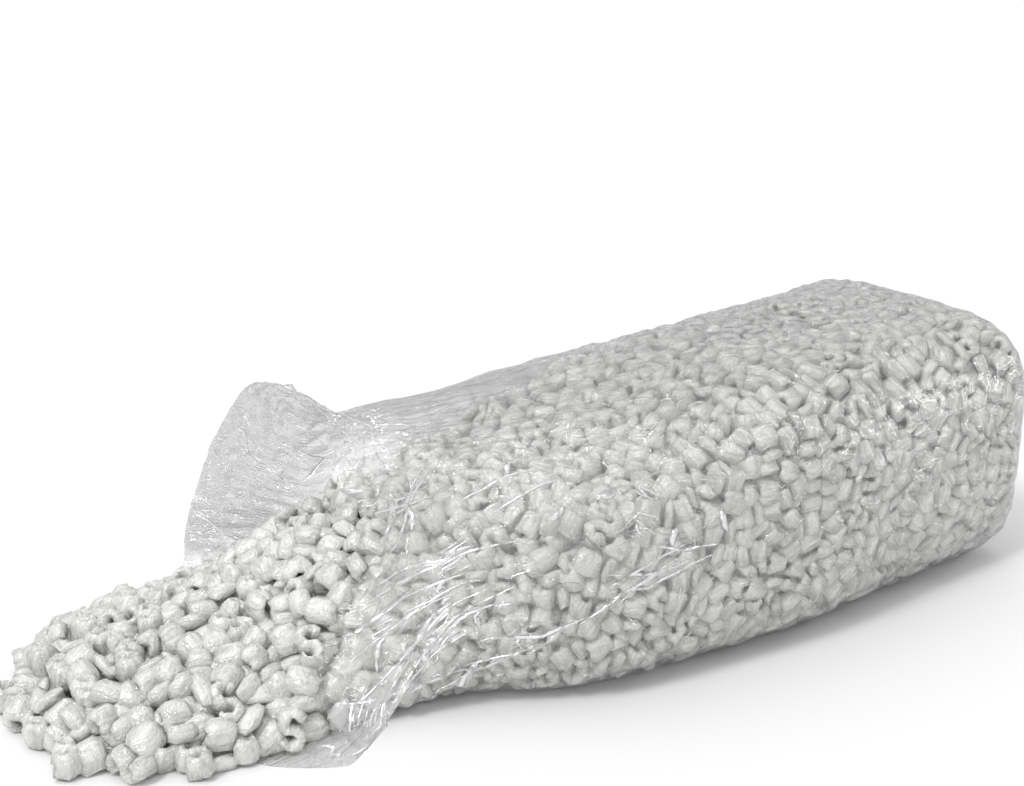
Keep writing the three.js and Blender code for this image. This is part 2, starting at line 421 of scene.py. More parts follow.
def ring_faces(rows: int, around: int) -> Array:
    """Quads between neighbouring rows of a grid that closes on itself sideways, facing outwards.

    Args:
        rows: How many rows the grid has.
        around: How many points a row has.

    Returns:
        Four point numbers per quad.
    """
    i, j = np.meshgrid(np.arange(rows - 1), np.arange(around), indexing="ij")
    k = (j + 1) % around
    corners = [i * around + j, i * around + k, (i + 1) * around + k, (i + 1) * around + j]
    return np.stack(corners, -1).reshape(-1, 4)


def new_object(name: str, data: bpy.types.ID) -> bpy.types.Object:
    """A new object of the scene, at the origin."""
    made = bpy.data.objects.new(name, data)
    bpy.context.scene.collection.objects.link(made)
    return made


def new_piece(name: str, grid: Grid, material: bpy.types.Material) -> bpy.types.Object:
    """Puts a grid into a smooth-shaded mesh object at the origin and rides it on the one body.

    Args:
        name: The piece's name.
        grid: Its points and faces, in the frame's coordinates.
        material: Its finish.

    Returns:
        The new object.
    """
    corners = np.concatenate([faces.reshape(-1) for faces in grid.faces]).astype(np.int32)
    sizes = np.concatenate([np.full(len(faces), faces.shape[1]) for faces in grid.faces])
    starts = np.concatenate([[0], np.cumsum(sizes)[:-1]]).astype(np.int32)
    mesh = bpy.data.meshes.new(name)
    mesh.vertices.add(len(grid.points))
    mesh.vertices.foreach_set("co", grid.points.astype(np.float32).reshape(-1))
    mesh.loops.add(len(corners))
    mesh.loops.foreach_set("vertex_index", corners)
    mesh.polygons.add(len(sizes))
    mesh.polygons.foreach_set("loop_start", starts)
    mesh.update(calc_edges=True)
    if grid.flat is not None:
        layer = mesh.uv_layers.new(name="flat")
        layer.data.foreach_set("uv", grid.flat[corners].astype(np.float32).reshape(-1))
    for mark, values in grid.marks.items():
        attribute = mesh.attributes.new(mark, "FLOAT", "POINT")
        attribute.data.foreach_set("value", values.astype(np.float32).reshape(-1))
    mesh.polygons.foreach_set("use_smooth", np.ones(len(sizes), bool))
    mesh.validate()
    piece = new_object(name, mesh)
    piece.data.materials.append(material)
    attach(piece, "root")
    LOG.info("%s: %d points, %d faces", name, len(grid.points), len(sizes))
    return piece


# ----------------------------------------------------------------------------------------- finishes

Socket = bpy.types.NodeSocket
Colour = tuple[float, float, float, float]


class Nodes:
    """Short calls that add and join a material's shader nodes."""

    def __init__(self, name: str) -> None:
        """Starts an empty node material.

        Args:
            name: The material's name.
        """
        self.material = bpy.data.materials.new(name)
        self.material.use_nodes = True
        self.tree = self.material.node_tree
        self.tree.nodes.clear()

    def add(self, kind: str, inputs: dict[str | int, object], **settings: object) -> bpy.types.Node:
        """Adds a node of a kind, sets its own settings and fills its inputs.

        Args:
            kind: The node's type.
            inputs: A plain value to set, or a socket to link, for each input.
            settings: Values for the node's own properties.

        Returns:
            The new node.
        """
        node = self.tree.nodes.new(kind)
        for name, value in settings.items():
            setattr(node, name, value)
        for key, value in inputs.items():
            if isinstance(value, Socket):
                self.tree.links.new(value, node.inputs[key])
            else:
                node.inputs[key].default_value = value
        return node

    def maths(self, operation: str, *values: object) -> Socket:
        """A Math node's result."""
        return self.add("ShaderNodeMath", dict(enumerate(values)), operation=operation).outputs[0]

    def span(self, value: Socket, *limits: float) -> Socket:
        """value mapped from the first two limits' range to the last two's, and held inside it."""
        names = ("Value", "From Min", "From Max", "To Min", "To Max")
        return self.add("ShaderNodeMapRange", dict(zip(names, (value, *limits)))).outputs[0]

    def noise(
        self, vector: Socket, scale: float, detail: float, roughness: float = 0.55, solid: bool = False
    ) -> Socket:
        """A Noise texture's value, on the flat map or, if solid, in space.

        Args:
            vector: Where it is read.
            scale: Lumps per unit of the vector.
            detail: How many finer noises are added.
            roughness: How strong these are.
            solid: Whether it is read in space.

        Returns:
            The value, about 0.5 on average.
        """
        inputs = {"Vector": vector, "Scale": scale, "Detail": detail, "Roughness": roughness}
        node = self.add("ShaderNodeTexNoise", inputs, noise_dimensions="3D" if solid else "2D")
        return node.outputs["Fac"]

    def cells(self, vector: Socket, scale: float, feature: str) -> Socket:
        """A flat Voronoi texture's distance, to the cell's spot (F1) or to its border.

        Args:
            vector: Where it is read.
            scale: Cells per unit of the vector.
            feature: Which distance.

        Returns:
            The distance.
        """
        inputs = {"Vector": vector, "Scale": scale}
        node = self.add("ShaderNodeTexVoronoi", inputs, feature=feature, voronoi_dimensions="2D")
        return node.outputs["Distance"]

    def stretched(self, vector: Socket, scale: tuple[float, float], turn: float = 0.0) -> Socket:
        """A flat vector turned about Z and scaled along its two axes."""
        inputs = {"Vector": vector, "Scale": (*scale, 1.0), "Rotation": (0.0, 0.0, turn)}
        return self.add("ShaderNodeMapping", inputs).outputs[0]

    def bumped(self, height: Socket, distance: float, strength: float, **onto: Socket) -> Socket:
        """The normal of a surface raised by height times distance; onto may name a Normal under it."""
        inputs = {"Height": height, "Distance": distance, "Strength": strength, **onto}
        return self.add("ShaderNodeBump", inputs).outputs[0]

    def mixed(self, share: Socket, low: object, high: object) -> Socket:
        """The colour low where share is 0 and high where it is 1."""
        inputs = {"Factor": share, "A": low, "B": high}
        return self.add("ShaderNodeMix", inputs, data_type="RGBA").outputs["Result"]

    def layered(self, share: object, under: Socket, over: Socket) -> Socket:
        """The shader under where share is 0 and over where it is 1."""
        return self.add("ShaderNodeMixShader", {0: share, 1: under, 2: over}).outputs[0]

    def shader(self, kind: str, inputs: dict[str | int, object], **settings: object) -> Socket:
        """A plain shader's output."""
        return self.add("ShaderNodeBsdf" + kind, inputs, **settings).outputs[0]

    def gloss(self, roughness: object, **normal: Socket) -> Socket:
        """A mirror-like shader; normal may name the Normal it sees."""
        return self.shader("Anisotropic", {"Roughness": roughness, **normal}, distribution="BECKMANN")

    def flat_map(self) -> Socket:
        """The piece's own flat coordinates."""
        return self.add("ShaderNodeUVMap", {}, uv_map="flat").outputs[0]

    def place(self) -> Socket:
        """The piece's own Object coordinates."""
        return self.add("ShaderNodeTexCoord", {}).outputs["Object"]

    def mark(self, name: str) -> Socket:
        """A named number stored on the mesh."""
        return self.add("ShaderNodeAttribute", {}, attribute_name=name).outputs["Fac"]

    def finish(self, surface: Socket) -> bpy.types.Material:
        """Joins the surface to the output and gives the material."""
        self.add("ShaderNodeOutputMaterial", {"Surface": surface})
        return self.material


@dataclass(frozen=True)
class FoamFinish:
    """White expanded foam: satin skin with fine streaks across the ribbon and small pits.

    Attributes:
        name: The material's name.
        light: The colour of its lightest skin.
        shade: The colour of its darkest skin.
        streaks: How many streaks and lengths of them a metre has, along the ribbon and across it.
        streak_range: The noise between which streaks run from low to high.
        streak_tone: How much a streak changes the tone.
        streak_bump: The streaks' height and strength.
        pits_per_metre: How many pits a metre has.
        pit_share: The pits' height as a share of the streaks'.
        lumps_per_metre: How many soft lumps a metre has.
        lump_bump: The lumps' height and strength.
        roughness: The roughness in the valleys and on the crests of the streaks.
        coat_roughness: The roughness of the shiny skin over it.
    """

    name: str
    light: Colour = (0.70, 0.697, 0.677, 1.0)
    shade: Colour = (0.50, 0.497, 0.481, 1.0)
    streaks: tuple[float, float] = (260.0, 34.0)
    streak_range: tuple[float, float] = (0.34, 0.66)
    streak_tone: float = 0.65
    streak_bump: tuple[float, float] = (0.0021, 0.75)
    pits_per_metre: float = 700.0
    pit_share: float = 0.25
    lumps_per_metre: float = 190.0
    lump_bump: tuple[float, float] = (0.0026, 0.6)
    roughness: tuple[float, float] = (0.16, 0.36)
    coat_roughness: float = 0.13

    def build(self) -> bpy.types.Material:
        """Makes the material: tone per peanut, streaks on the flat map, lumps on Object coordinates.

        Returns:
            The material.
        """
        n = Nodes(self.name)
        flat = n.flat_map()
        streaks = n.noise(n.stretched(flat, self.streaks), 1.0, 3.0, 0.65)
        pits = n.maths("MULTIPLY", n.cells(flat, self.pits_per_metre, "F1"), self.pit_share)
        relief = n.bumped(n.maths("ADD", streaks, pits), *self.streak_bump)
        lumps = n.noise(n.place(), self.lumps_per_metre, 1.0, solid=True)
        relief = n.bumped(lumps, *self.lump_bump, Normal=relief)
        streak = n.span(streaks, *self.streak_range, -self.streak_tone, self.streak_tone)
        skin = {
            "Base Color": n.mixed(n.maths("ADD", n.mark("tone"), streak), self.shade, self.light),
            "Roughness": n.span(streaks, *self.streak_range, *self.roughness),
            "Normal": relief,
            "Specular IOR Level": 1.0,
            "Coat Weight": 1.0,
            "Coat Roughness": self.coat_roughness,
            "Coat Normal": relief,
        }
        return n.finish(n.shader("Principled", skin))


@dataclass(frozen=True)
class CreaseNet:
    """A net of cells whose borders are thin crease lines.

    Attributes:
        cells: Cells per metre across and along the film.
        turn: How far the cells are turned.
        width: The line's width as a share of a cell.
    """

    cells: tuple[float, float]
    turn: float
    width: float


@dataclass(frozen=True)
class FilmMarks:
    """What the film's mesh tells its material: flat map, slackness, free-hanging film and creases."""

    flat: Socket
    slack: Socket
    lip: Socket
    crease: Socket


@dataclass(frozen=True)
class FilmFinish:
    """Clear polyethylene film: see-through, glossy, white along its creases in part as painted highlight,
    greyer edge-on in part as painted reflection.

    Attributes:
        name: The material's name.
        tint: The colour seen through tight film.
        slack_tint: The same for slack film.
        lip_tint: The same for film that hangs free.
        edge_tint_and_reflection: The same for tight film seen edge-on, darkened in part as painted reflection
            of darker surroundings.
        milk: The colour of what is milky.
        haze: How milky tight and slack film are.
        sheen: How much soft shine they have.
        crease_whitening_and_highlight: How milky a full crease is: partly stress whitening, partly painted
            highlight.
        line_whitening_and_highlight: How milky a crease line is on tight and slack film: partly stress
            whitening, partly painted highlight.
        line_shine: How shiny it is there.
        roughness: The gloss's roughness off and on a crease line.
        gloss_gain: How much stronger than plain film's the mirror gloss is.
        long_net: The long creases.
        short_net: The short ones, on slack film only.
        waves: How many waves a metre the creases have, and how far they shift.
    """

    name: str = "clear_film"
    tint: Colour = (0.98, 0.98, 0.98, 1.0)
    slack_tint: Colour = (0.92, 0.921, 0.922, 1.0)
    lip_tint: Colour = (0.50, 0.502, 0.506, 1.0)
    edge_tint_and_reflection: Colour = (0.34, 0.35, 0.365, 1.0)
    milk: Colour = (0.93, 0.93, 0.925, 1.0)
    haze: tuple[float, float] = (0.06, 0.11)
    sheen: tuple[float, float] = (0.05, 0.045)
    crease_whitening_and_highlight: float = 0.22
    line_whitening_and_highlight: tuple[float, float] = (0.10, 0.55)
    line_shine: tuple[float, float] = (0.30, 0.75)
    roughness: tuple[float, float] = (0.075, 0.24)
    gloss_gain: float = 1.8
    long_net: CreaseNet = CreaseNet((17.0, 8.0), 0.5, 0.024)
    short_net: CreaseNet = CreaseNet((60.0, 34.0), -0.4, 0.050)
    waves: tuple[float, float] = (26.0, 0.016)

    def wavy_map(self, n: Nodes, flat: Socket) -> Socket:
        """The flat map, shifted to and fro by a slow noise.

        Args:
            n: The material's nodes.
            flat: The film's flat map.

        Returns:
            The shifted map.
        """
        per_metre, shift = self.waves
        inputs = {"Vector": flat, "Scale": per_metre, "Detail": 1.0}
        wobble = n.add("ShaderNodeTexNoise", inputs, noise_dimensions="2D").outputs["Color"]
        inputs = {0: wobble, 1: (shift, shift, 0.0), 2: flat}
        return n.add("ShaderNodeVectorMath", inputs, operation="MULTIPLY_ADD").outputs[0]

    def creases(self, n: Nodes, on: FilmMarks, wavy: Socket, net: CreaseNet) -> Socket:
        """Thin bent lines where the film has been folded: the borders of a net's cells, in patches.

        Args:
            n: The material's nodes.
            on: What the mesh tells.
            wavy: The film's flat map, made wavy.
            net: The net.

        Returns:
            1 on a line and 0 off it.
        """
        border = n.cells(n.stretched(wavy, net.cells, net.turn), 1.0, "DISTANCE_TO_EDGE")
        line = n.span(border, 0.0, net.width, 1.0, 0.0)
        across, along = net.cells
        patches = n.noise(n.stretched(wavy, (across * 0.9, along * 0.9), net.turn + 0.9), 1.0, 1.0)
        shown = n.span(patches, 0.50, 0.57, 0.0, 1.0)
        shown = n.maths("MULTIPLY", shown, n.span(on.slack, 0.05, 0.5, 0.12, 1.0))
        return n.maths("MULTIPLY", line, shown)

    def lines(self, n: Nodes, on: FilmMarks) -> Socket:
        """All crease lines: the long ones, and the short ones where slack film doesn't hang free.

        Args:
            n: The material's nodes.
            on: What the mesh tells.

        Returns:
            1 on a crease line and 0 off it.
        """
        wavy = self.wavy_map(n, on.flat)
        crumpled = n.span(n.maths("SUBTRACT", on.slack, on.lip), 0.2, 0.8, 0.0, 0.5)
        short = n.maths("MULTIPLY", self.creases(n, on, wavy, self.short_net), crumpled)
        return n.maths("MAXIMUM", self.creases(n, on, wavy, self.long_net), short)

    def relief(self, n: Nodes, on: FilmMarks, lines: Socket) -> Socket:
        """The film's normal: broad and fine crumples, finest where it hangs free, and the lines.

        Args:
            n: The material's nodes.
            on: What the mesh tells.
            lines: 1 on a crease line and 0 off it.

        Returns:
            The normal.
        """
        fine = n.noise(n.stretched(on.flat, (330.0, 60.0), 0.25), 1.0, 2.0, 0.6)
        broad = n.noise(n.stretched(on.flat, (60.0, 36.0), -0.5), 1.0, 3.0, 0.65)
        ripple = n.maths("ADD", n.span(on.slack, 0.0, 1.0, 0.34, 0.4), n.maths("MULTIPLY", on.lip, 0.6))
        height = n.maths("ADD", n.maths("MULTIPLY", fine, ripple), broad)
        height = n.maths("ADD", height, n.maths("MULTIPLY", lines, 0.7))
        return n.bumped(height, 0.0026, 0.9)

    def seen_through(self, n: Nodes, on: FilmMarks) -> Socket:
        """The colour of what is seen through the film: darker on the free lip, and darker edge-on, partly as
        painted reflection.

        Args:
            n: The material's nodes.
            on: What the mesh tells.

        Returns:
            The colour.
        """
        facing = n.add("ShaderNodeLayerWeight", {"Blend": 0.22}).outputs["Facing"]
        # Edge-on the film is greyed: partly its real loss of clearness there, partly painted reflection of
        # darker surroundings.
        edges = n.maths("MULTIPLY", n.maths("POWER", facing, 2.0), n.span(on.slack, 0.2, 1.0, 1.0, 0.45))
        face = n.mixed(on.lip, n.mixed(on.slack, self.tint, self.slack_tint), self.lip_tint)
        return n.mixed(edges, face, self.edge_tint_and_reflection)

    def milk_and_highlight(self, n: Nodes, on: FilmMarks, lines: Socket) -> Socket:
        """How milky the film is: its haze, and its creases and crease lines, whose white is partly stress
        whitening and partly painted highlight.

        Args:
            n: The material's nodes.
            on: What the mesh tells.
            lines: 1 on a crease line and 0 off it.

        Returns:
            0 for clear and 1 for all milk.
        """
        # White on creases and crease lines: partly the film's stress whitening, partly painted highlight.
        creased = n.maths("MULTIPLY", on.crease, self.crease_whitening_and_highlight)
        haze = n.maths("ADD", n.span(on.slack, 0.0, 1.0, *self.haze), creased)
        drawn = n.maths("MULTIPLY", lines, n.span(on.slack, 0.0, 0.7, *self.line_whitening_and_highlight))
        return n.maths("MINIMUM", n.maths("ADD", haze, drawn), 0.9)

    def shine(self, n: Nodes, on: FilmMarks, lines: Socket, relief: Socket) -> Socket:
        """How much the film mirrors: by Fresnel's law, and more on its crease lines.

        Args:
            n: The material's nodes.
            on: What the mesh tells.
            lines: 1 on a crease line and 0 off it.
            relief: The film's normal.

        Returns:
            0 for none and 1 for a mirror.
        """
        mirror = n.add("ShaderNodeFresnel", {"IOR": 1.5, "Normal": relief}).outputs[0]
        shine = n.maths("MINIMUM", n.maths("MULTIPLY", mirror, self.gloss_gain), 0.7)
        glint = n.maths("MULTIPLY", lines, n.span(on.slack, 0.0, 0.7, *self.line_shine))
        return n.maths("MAXIMUM", shine, glint)

    def build(self) -> bpy.types.Material:
        """Makes the material: see-through, then milk, then a soft sheen, then the mirror gloss.

        Returns:
            The material.
        """
        n = Nodes(self.name)
        on = FilmMarks(n.flat_map(), n.mark("slack"), n.mark("lip"), n.mark("crease"))
        lines = self.lines(n, on)
        relief = self.relief(n, on, lines)
        clear = n.shader("Transparent", {"Color": self.seen_through(n, on)})
        front, back = (n.shader(kind, {"Color": self.milk}) for kind in ("Diffuse", "Translucent"))
        film = n.layered(self.milk_and_highlight(n, on, lines), clear, n.layered(0.5, front, back))
        film = n.layered(n.span(on.slack, 0.0, 1.0, *self.sheen), film, n.gloss(0.5))
        gloss = n.gloss(n.span(lines, 0.0, 1.0, *self.roughness), Normal=relief)
        return n.finish(n.layered(self.shine(n, on, lines, relief), film, gloss))


@dataclass(frozen=True)
class FoldFinish:
    """The film where it is pinched double: whiter, partly as painted highlight, and bright wherever it faces
    a light.

    Attributes:
        name: The material's name.
        clear: The colour seen through it.
        milk: The colour of what is milky.
        breaks_per_metre: Stretches per metre.
        milk_and_highlight: How milky it is between and in the bright stretches, the milk partly painted
            highlight.
        shine: How shiny it is there.
        roughness: The shine's roughness.
    """

    name: str = "pinched_film_painted_highlight"
    clear: Colour = (0.99, 0.99, 0.99, 1.0)
    milk: Colour = (0.97, 0.97, 0.965, 1.0)
    breaks_per_metre: float = 90.0
    milk_and_highlight: tuple[float, float] = (0.04, 0.75)
    shine: tuple[float, float] = (0.04, 0.60)
    roughness: float = 0.2

    def build(self) -> bpy.types.Material:
        """Makes the material: clear film that turns milky and shiny in broken stretches, the milk partly
        painted highlight.

        Returns:
            The material.
        """
        n = Nodes(self.name)
        breaks = n.noise(n.place(), self.breaks_per_metre, 2.0, solid=True)
        clear = n.shader("Transparent", {"Color": self.clear})
        white = n.shader("Diffuse", {"Color": self.milk})
        # Milky white in broken stretches: partly the doubled film's whiteness, partly painted highlight.
        film = n.layered(n.span(breaks, 0.42, 0.58, *self.milk_and_highlight), clear, white)
        film = n.layered(n.span(breaks, 0.40, 0.56, *self.shine), film, n.gloss(self.roughness))
        return n.finish(film)


@dataclass(frozen=True)
class FloorFinish:
    """Pale matt studio floor."""

    name: str = "studio_floor"
    colour: Colour = (0.84, 0.84, 0.84, 1.0)

    def build(self) -> bpy.types.Material:
        """Makes the plain matt material.

        Returns:
            The material.
        """
        n = Nodes(self.name)
        skin = {"Base Color": self.colour, "Roughness": 0.9, "Specular IOR Level": 0.1}
        return n.finish(n.shader("Principled", skin))


# ------------------------------------------------------------------------------------------ peanuts


class Detail(Enum):
    """How finely a peanut is drawn: (stations along the ribbon, points round it, rings per end)."""

    PACKED = (13, 6, 1)
    POURED = (15, 8, 1)


@dataclass(frozen=True)
class PeanutForm:
    """One S-shaped foam peanut: a ribbon round two bends. Long axis Y, width Z, middle at 0.

    Attributes:
        bend_radius: From a bend's centre to the ribbon's middle.
        thickness: The ribbon's thickness.
        width: The ribbon's width, along Z.
        opening: The angle at which each end of the ribbon stops, above the bend's centre.
        puff: How much thicker the ribbon is at the middle of each bend.
        squareness: The power of the ribbon's rounded section.
        flatness: How far the section's points move from its flat sides to its corners.
        cap: How far each end's rounding reaches.
        ribbon_length: The ribbon's length in bend radii, for the flat coordinates.
    """

    bend_radius: float
    thickness: float
    width: float
    opening: float
    puff: float
    squareness: float
    flatness: float = 0.2
    cap: float = 0.0045
    ribbon_length: float = 8.4

    def mesh(self, detail: Detail) -> tuple[Array, Array, Array, Array]:
        """The ribbon's mesh.

        For s from 0 to 1 the path is a circle about (0, R) from its lowest point, angle 270 degrees
        down to the opening; for s below 0 it is the same path turned half round. The section is a
        rounded rectangle of thickness by width, and each end closes along a quarter ellipse.

        Args:
            detail: How finely it is drawn.

        Returns:
            Points, quads, end triangles and flat coordinates (length along, width across).
        """
        stations, around, rings = detail.value
        s = np.linspace(-1, 1, stations)
        angle = 1.5 * np.pi - np.abs(s) * (1.5 * np.pi - self.opening)
        side = np.where(s < 0, -1.0, 1.0)[:, None]
        path = np.stack([np.cos(angle), 1 + np.sin(angle)], -1) * self.bend_radius * side
        heading = np.stack([np.sin(angle), -np.cos(angle)], -1)
        swell = 1 + self.puff * np.sin(np.pi * np.abs(s)) ** 2
        reach = self.cap * np.sin(np.linspace(0, np.pi / 2, rings + 2)[1:-1])
        shrink = np.cos(np.linspace(0, np.pi / 2, rings + 2)[1:-1])
        head = path[0] - heading[0] * reach[::-1, None]
        tail = path[-1] + heading[-1] * reach[:, None]
        path = np.vstack([head, path, tail])
        heading = np.vstack([np.repeat(heading[:1], rings, 0), heading, np.repeat(heading[-1:], rings, 0)])
        swell = np.concatenate([shrink[::-1], swell, shrink])
        turn = (np.arange(around) + 0.5) / around * 2 * np.pi
        turn = turn + self.flatness * np.sin(2 * turn)
        bulge = square_reach(turn, self.squareness)
        thick = 0.5 * self.thickness * bulge * np.cos(turn)
        wide = 0.5 * self.width * bulge * np.sin(turn)
        normal = np.stack([-heading[:, 1], heading[:, 0]], -1)
        flat_part = path[:, None, :] + normal[:, None, :] * (thick * swell[:, None])[..., None]
        wide_share = np.concatenate([shrink[::-1] ** 0.35, np.ones(stations), shrink**0.35])
        depth = wide * wide_share[:, None]
        points = np.concatenate([flat_part, depth[..., None]], -1).reshape(-1, 3)
        rest = self.cap - reach[-1]
        ends = np.array([path[0] - heading[0] * rest, path[-1] + heading[-1] * rest])
        poles = np.column_stack([ends, np.zeros(2)])
        rows = len(path)
        quads = ring_faces(rows, around)
        j = np.arange(around)
        k = (j + 1) % around
        first, last = rows * around, rows * around + 1
        start_fan = np.stack([np.full(around, first), k, j], -1)
        end_row = (rows - 1) * around
        end_fan = np.stack([np.full(around, last), end_row + j, end_row + k], -1)
        step = self.bend_radius * self.ribbon_length / rows
        length = (np.arange(rows) - rows / 2)[:, None] * step + 0 * wide
        flat = np.stack([length, np.broadcast_to(wide, length.shape)], -1).reshape(-1, 2)
        flat = np.vstack([flat, flat[:1], flat[-1:]])
        return np.vstack([points, poles]), quads, np.vstack([start_fan, end_fan]), flat


@dataclass
class Peanuts:
    """Many peanuts: their middles, turned axes (columns X, Y, Z) and sizes."""

    middles: Array
    axes: Array
    sizes: Array

    def part(self, chosen: Array) -> "Peanuts":
        """The chosen ones alone."""
        return Peanuts(self.middles[chosen], self.axes[chosen], self.sizes[chosen])


def peanut_forms(count: int, rng: np.random.Generator) -> list[PeanutForm]:
    """A few peanuts that differ as cut foam does: bend, thickness, opening and puff.

    Args:
        count: How many.
        rng: The random numbers' source.

    Returns:
        The forms.
    """
    return [
        PeanutForm(
            bend_radius=rng.uniform(0.0080, 0.0092),
            thickness=rng.uniform(0.0116, 0.0136),
            width=rng.uniform(0.0265, 0.0315),
            opening=math.radians(rng.uniform(8, 42)),
            puff=rng.uniform(0.02, 0.20),
            squareness=rng.uniform(2.9, 3.9),
        )
        for _ in range(count)
    ]


def lumpy(local: Array, rng: np.random.Generator, height: float = 0.0011) -> Array:
    """Swells and dents each peanut: every point moves along slow sine waves of its own place.

    Args:
        local: Points of shape (peanuts, points, 3), about each peanut's middle.
        rng: The source of each peanut's waves.
        height: How far one wave moves a point.

    Returns:
        The moved points.
    """
    moved = local.copy()
    for reach in (230.0, 420.0):
        waves = rng.normal(0.0, reach, (len(local), 3, 3))
        start = rng.uniform(0, 2 * np.pi, (len(local), 1, 3))
        moved += height * np.sin(np.einsum("nij,nvj->nvi", waves, local) + start)
    return moved


def peanut_grid(
    peanuts: Peanuts, forms: list[PeanutForm], detail: Detail, bag: BagForm, rng: np.random.Generator
) -> Grid:
    """Draws every peanut as its form's points, sized, gently bent, turned and moved to its place.

    Args:
        peanuts: Where they lie.
        forms: The shapes that are shared out among them.
        detail: How finely each is drawn.
        bag: The film that those inside it are pressed against.
        rng: The source of the share-out and the small differences.

    Returns:
        One grid of them all, with a tone for each peanut.
    """
    chosen = rng.integers(0, len(forms), len(peanuts.middles))
    tone = rng.uniform(0.35, 0.95, len(chosen))
    bend = rng.normal(0.0, 3.2, len(chosen))
    twist = rng.normal(0.0, 7.0, len(chosen))
    points, quads, fans, flats, tones = [], [], [], [], []
    base = 0
    for index, form in enumerate(forms):
        members = np.flatnonzero(chosen == index)
        shape, form_quads, form_fans, flat = form.mesh(detail)
        local = shape[None] * peanuts.sizes[members][:, None, :]
        angle = twist[members][:, None] * local[..., 1]
        x = local[..., 0] * np.cos(angle) - local[..., 2] * np.sin(angle)
        z = local[..., 0] * np.sin(angle) + local[..., 2] * np.cos(angle)
        x = x + bend[members][:, None] * local[..., 1] ** 2
        local = lumpy(np.stack([x, local[..., 1], z], -1), rng)
        placed = np.einsum("nij,nvj->nvi", peanuts.axes[members], local) + peanuts.middles[members][:, None]
        steps = base + np.arange(len(members))[:, None, None] * len(shape)
        points.append(placed.reshape(-1, 3))
        quads.append((form_quads[None] + steps).reshape(-1, 4))
        fans.append((form_fans[None] + steps).reshape(-1, 3))
        shift = rng.uniform(0, 3, (len(members), 1, 2))
        flats.append((flat[None] + shift).reshape(-1, 2))
        tones.append(np.repeat(tone[members], len(shape)))
        base += len(members) * len(shape)
    return Grid(
        bag.pressed(np.vstack(points), PRESS_GAP) - FOOTPRINT_MIDDLE,
        [np.vstack(quads), np.vstack(fans)],
        np.vstack(flats),
        {"tone": np.concatenate(tones)},
    )


@dataclass
class WholePeanuts:
    """The heap's outer peanuts that the frame places one by one, row by row from the far tip.

    Attributes:
        heap: The heap's form.
        rows_x: Where the rows are, in millimetres.
        arc_pitch: The usual step between two in a row.
        rest_height: The middle's height over the floor of one that lies on it.
        yaw_range: How differently they are turned, in radians.
        covered_flank_x: Past this X, the heap's front flank is under the film.
        covered_flank_start: How much of the row is left out there.
        lone: The middle of the one on the flap, in millimetres.
        size: Their size against the form's.
    """

    heap: HeapForm
    rows_x: Sequence[float] = (-370, -320, -268, -216, -164, -112)
    arc_pitch: float = 0.054
    rest_height: float = 0.0145
    yaw_range: float = 0.9
    covered_flank_x: float = -0.190
    covered_flank_start: float = 0.096
    lone: tuple[float, float, float] = (-166, 6, 24.5)
    size: float = 1.07

    def scatter(self, number: int, use: int) -> float:
        """A repeatable number from 0 to 1: the fraction of a fast sine of the peanut's number."""
        wave = math.sin(number * 12.9898 + use * 78.233) * 437.5453
        return wave - math.floor(wave)

    def swings(self, x: float) -> Array:
        """The swings over the heap at x that put peanuts one pitch apart, front to back.

        Args:
            x: A place along the bag.

        Returns:
            The swings, from 0 to 1.
        """
        steps = 400
        arc = self.heap.point(x, np.arange(steps + 1) / steps)
        marks = np.cumsum(np.linalg.norm(np.diff(arc, axis=0), axis=1))
        first = self.covered_flank_start if x > self.covered_flank_x else 0.0
        usable = marks[-1] - first
        count = max(int(usable / self.arc_pitch), 1)
        wanted = first + usable * np.arange(count + 1) / count
        return (np.searchsorted(marks, wanted - 1e-9) + 1) / steps

    def place(self) -> Peanuts:
        """Their places: on the skin, tilted with its slope, yawed and rolled by their own number.

        Returns:
            The peanuts.
        """
        middles, axes = [], []
        for row in self.rows_x:
            x = row * MM
            for swing in self.swings(x):
                number = len(middles) + 1
                middle = self.heap.point(x, np.array(swing))
                middle[2] = max(middle[2], self.rest_height)
                before, after = (self.heap.point(x, np.array(swing + step)) for step in (-0.01, 0.01))
                slope = after - before
                tilt = math.atan2(slope[2], slope[1]) if middle[2] > 2 * self.rest_height else 0.0
                yaw = (self.scatter(number, 1) - 0.5) * self.yaw_range
                roll = 0.0 if self.scatter(number, 2) < 0.5 else math.pi / 2
                middles.append(middle)
                axes.append(rotation(2, yaw) @ rotation(0, tilt) @ rotation(1, roll))
        return Peanuts(np.array(middles), np.array(axes), np.full((len(middles), 3), self.size))

    def with_lone(self, placed: Peanuts) -> Peanuts:
        """Adds the one peanut that stands by itself on the flap at the bag's front.

        Args:
            placed: The heap's whole peanuts.

        Returns:
            The same and the lone one.
        """
        long_axis = unit(np.array([0.12, 0.16, 1.0]))
        across = unit(np.cross(long_axis, np.array([-0.45, -0.9, 0.1])))
        axes = np.stack([across, long_axis, np.cross(across, long_axis)], -1)
        return Peanuts(
            np.vstack([placed.middles, np.array([self.lone]) * MM]),
            np.concatenate([placed.axes, axes[None]]),
            np.vstack([placed.sizes, np.full((1, 3), self.size)]),
        )


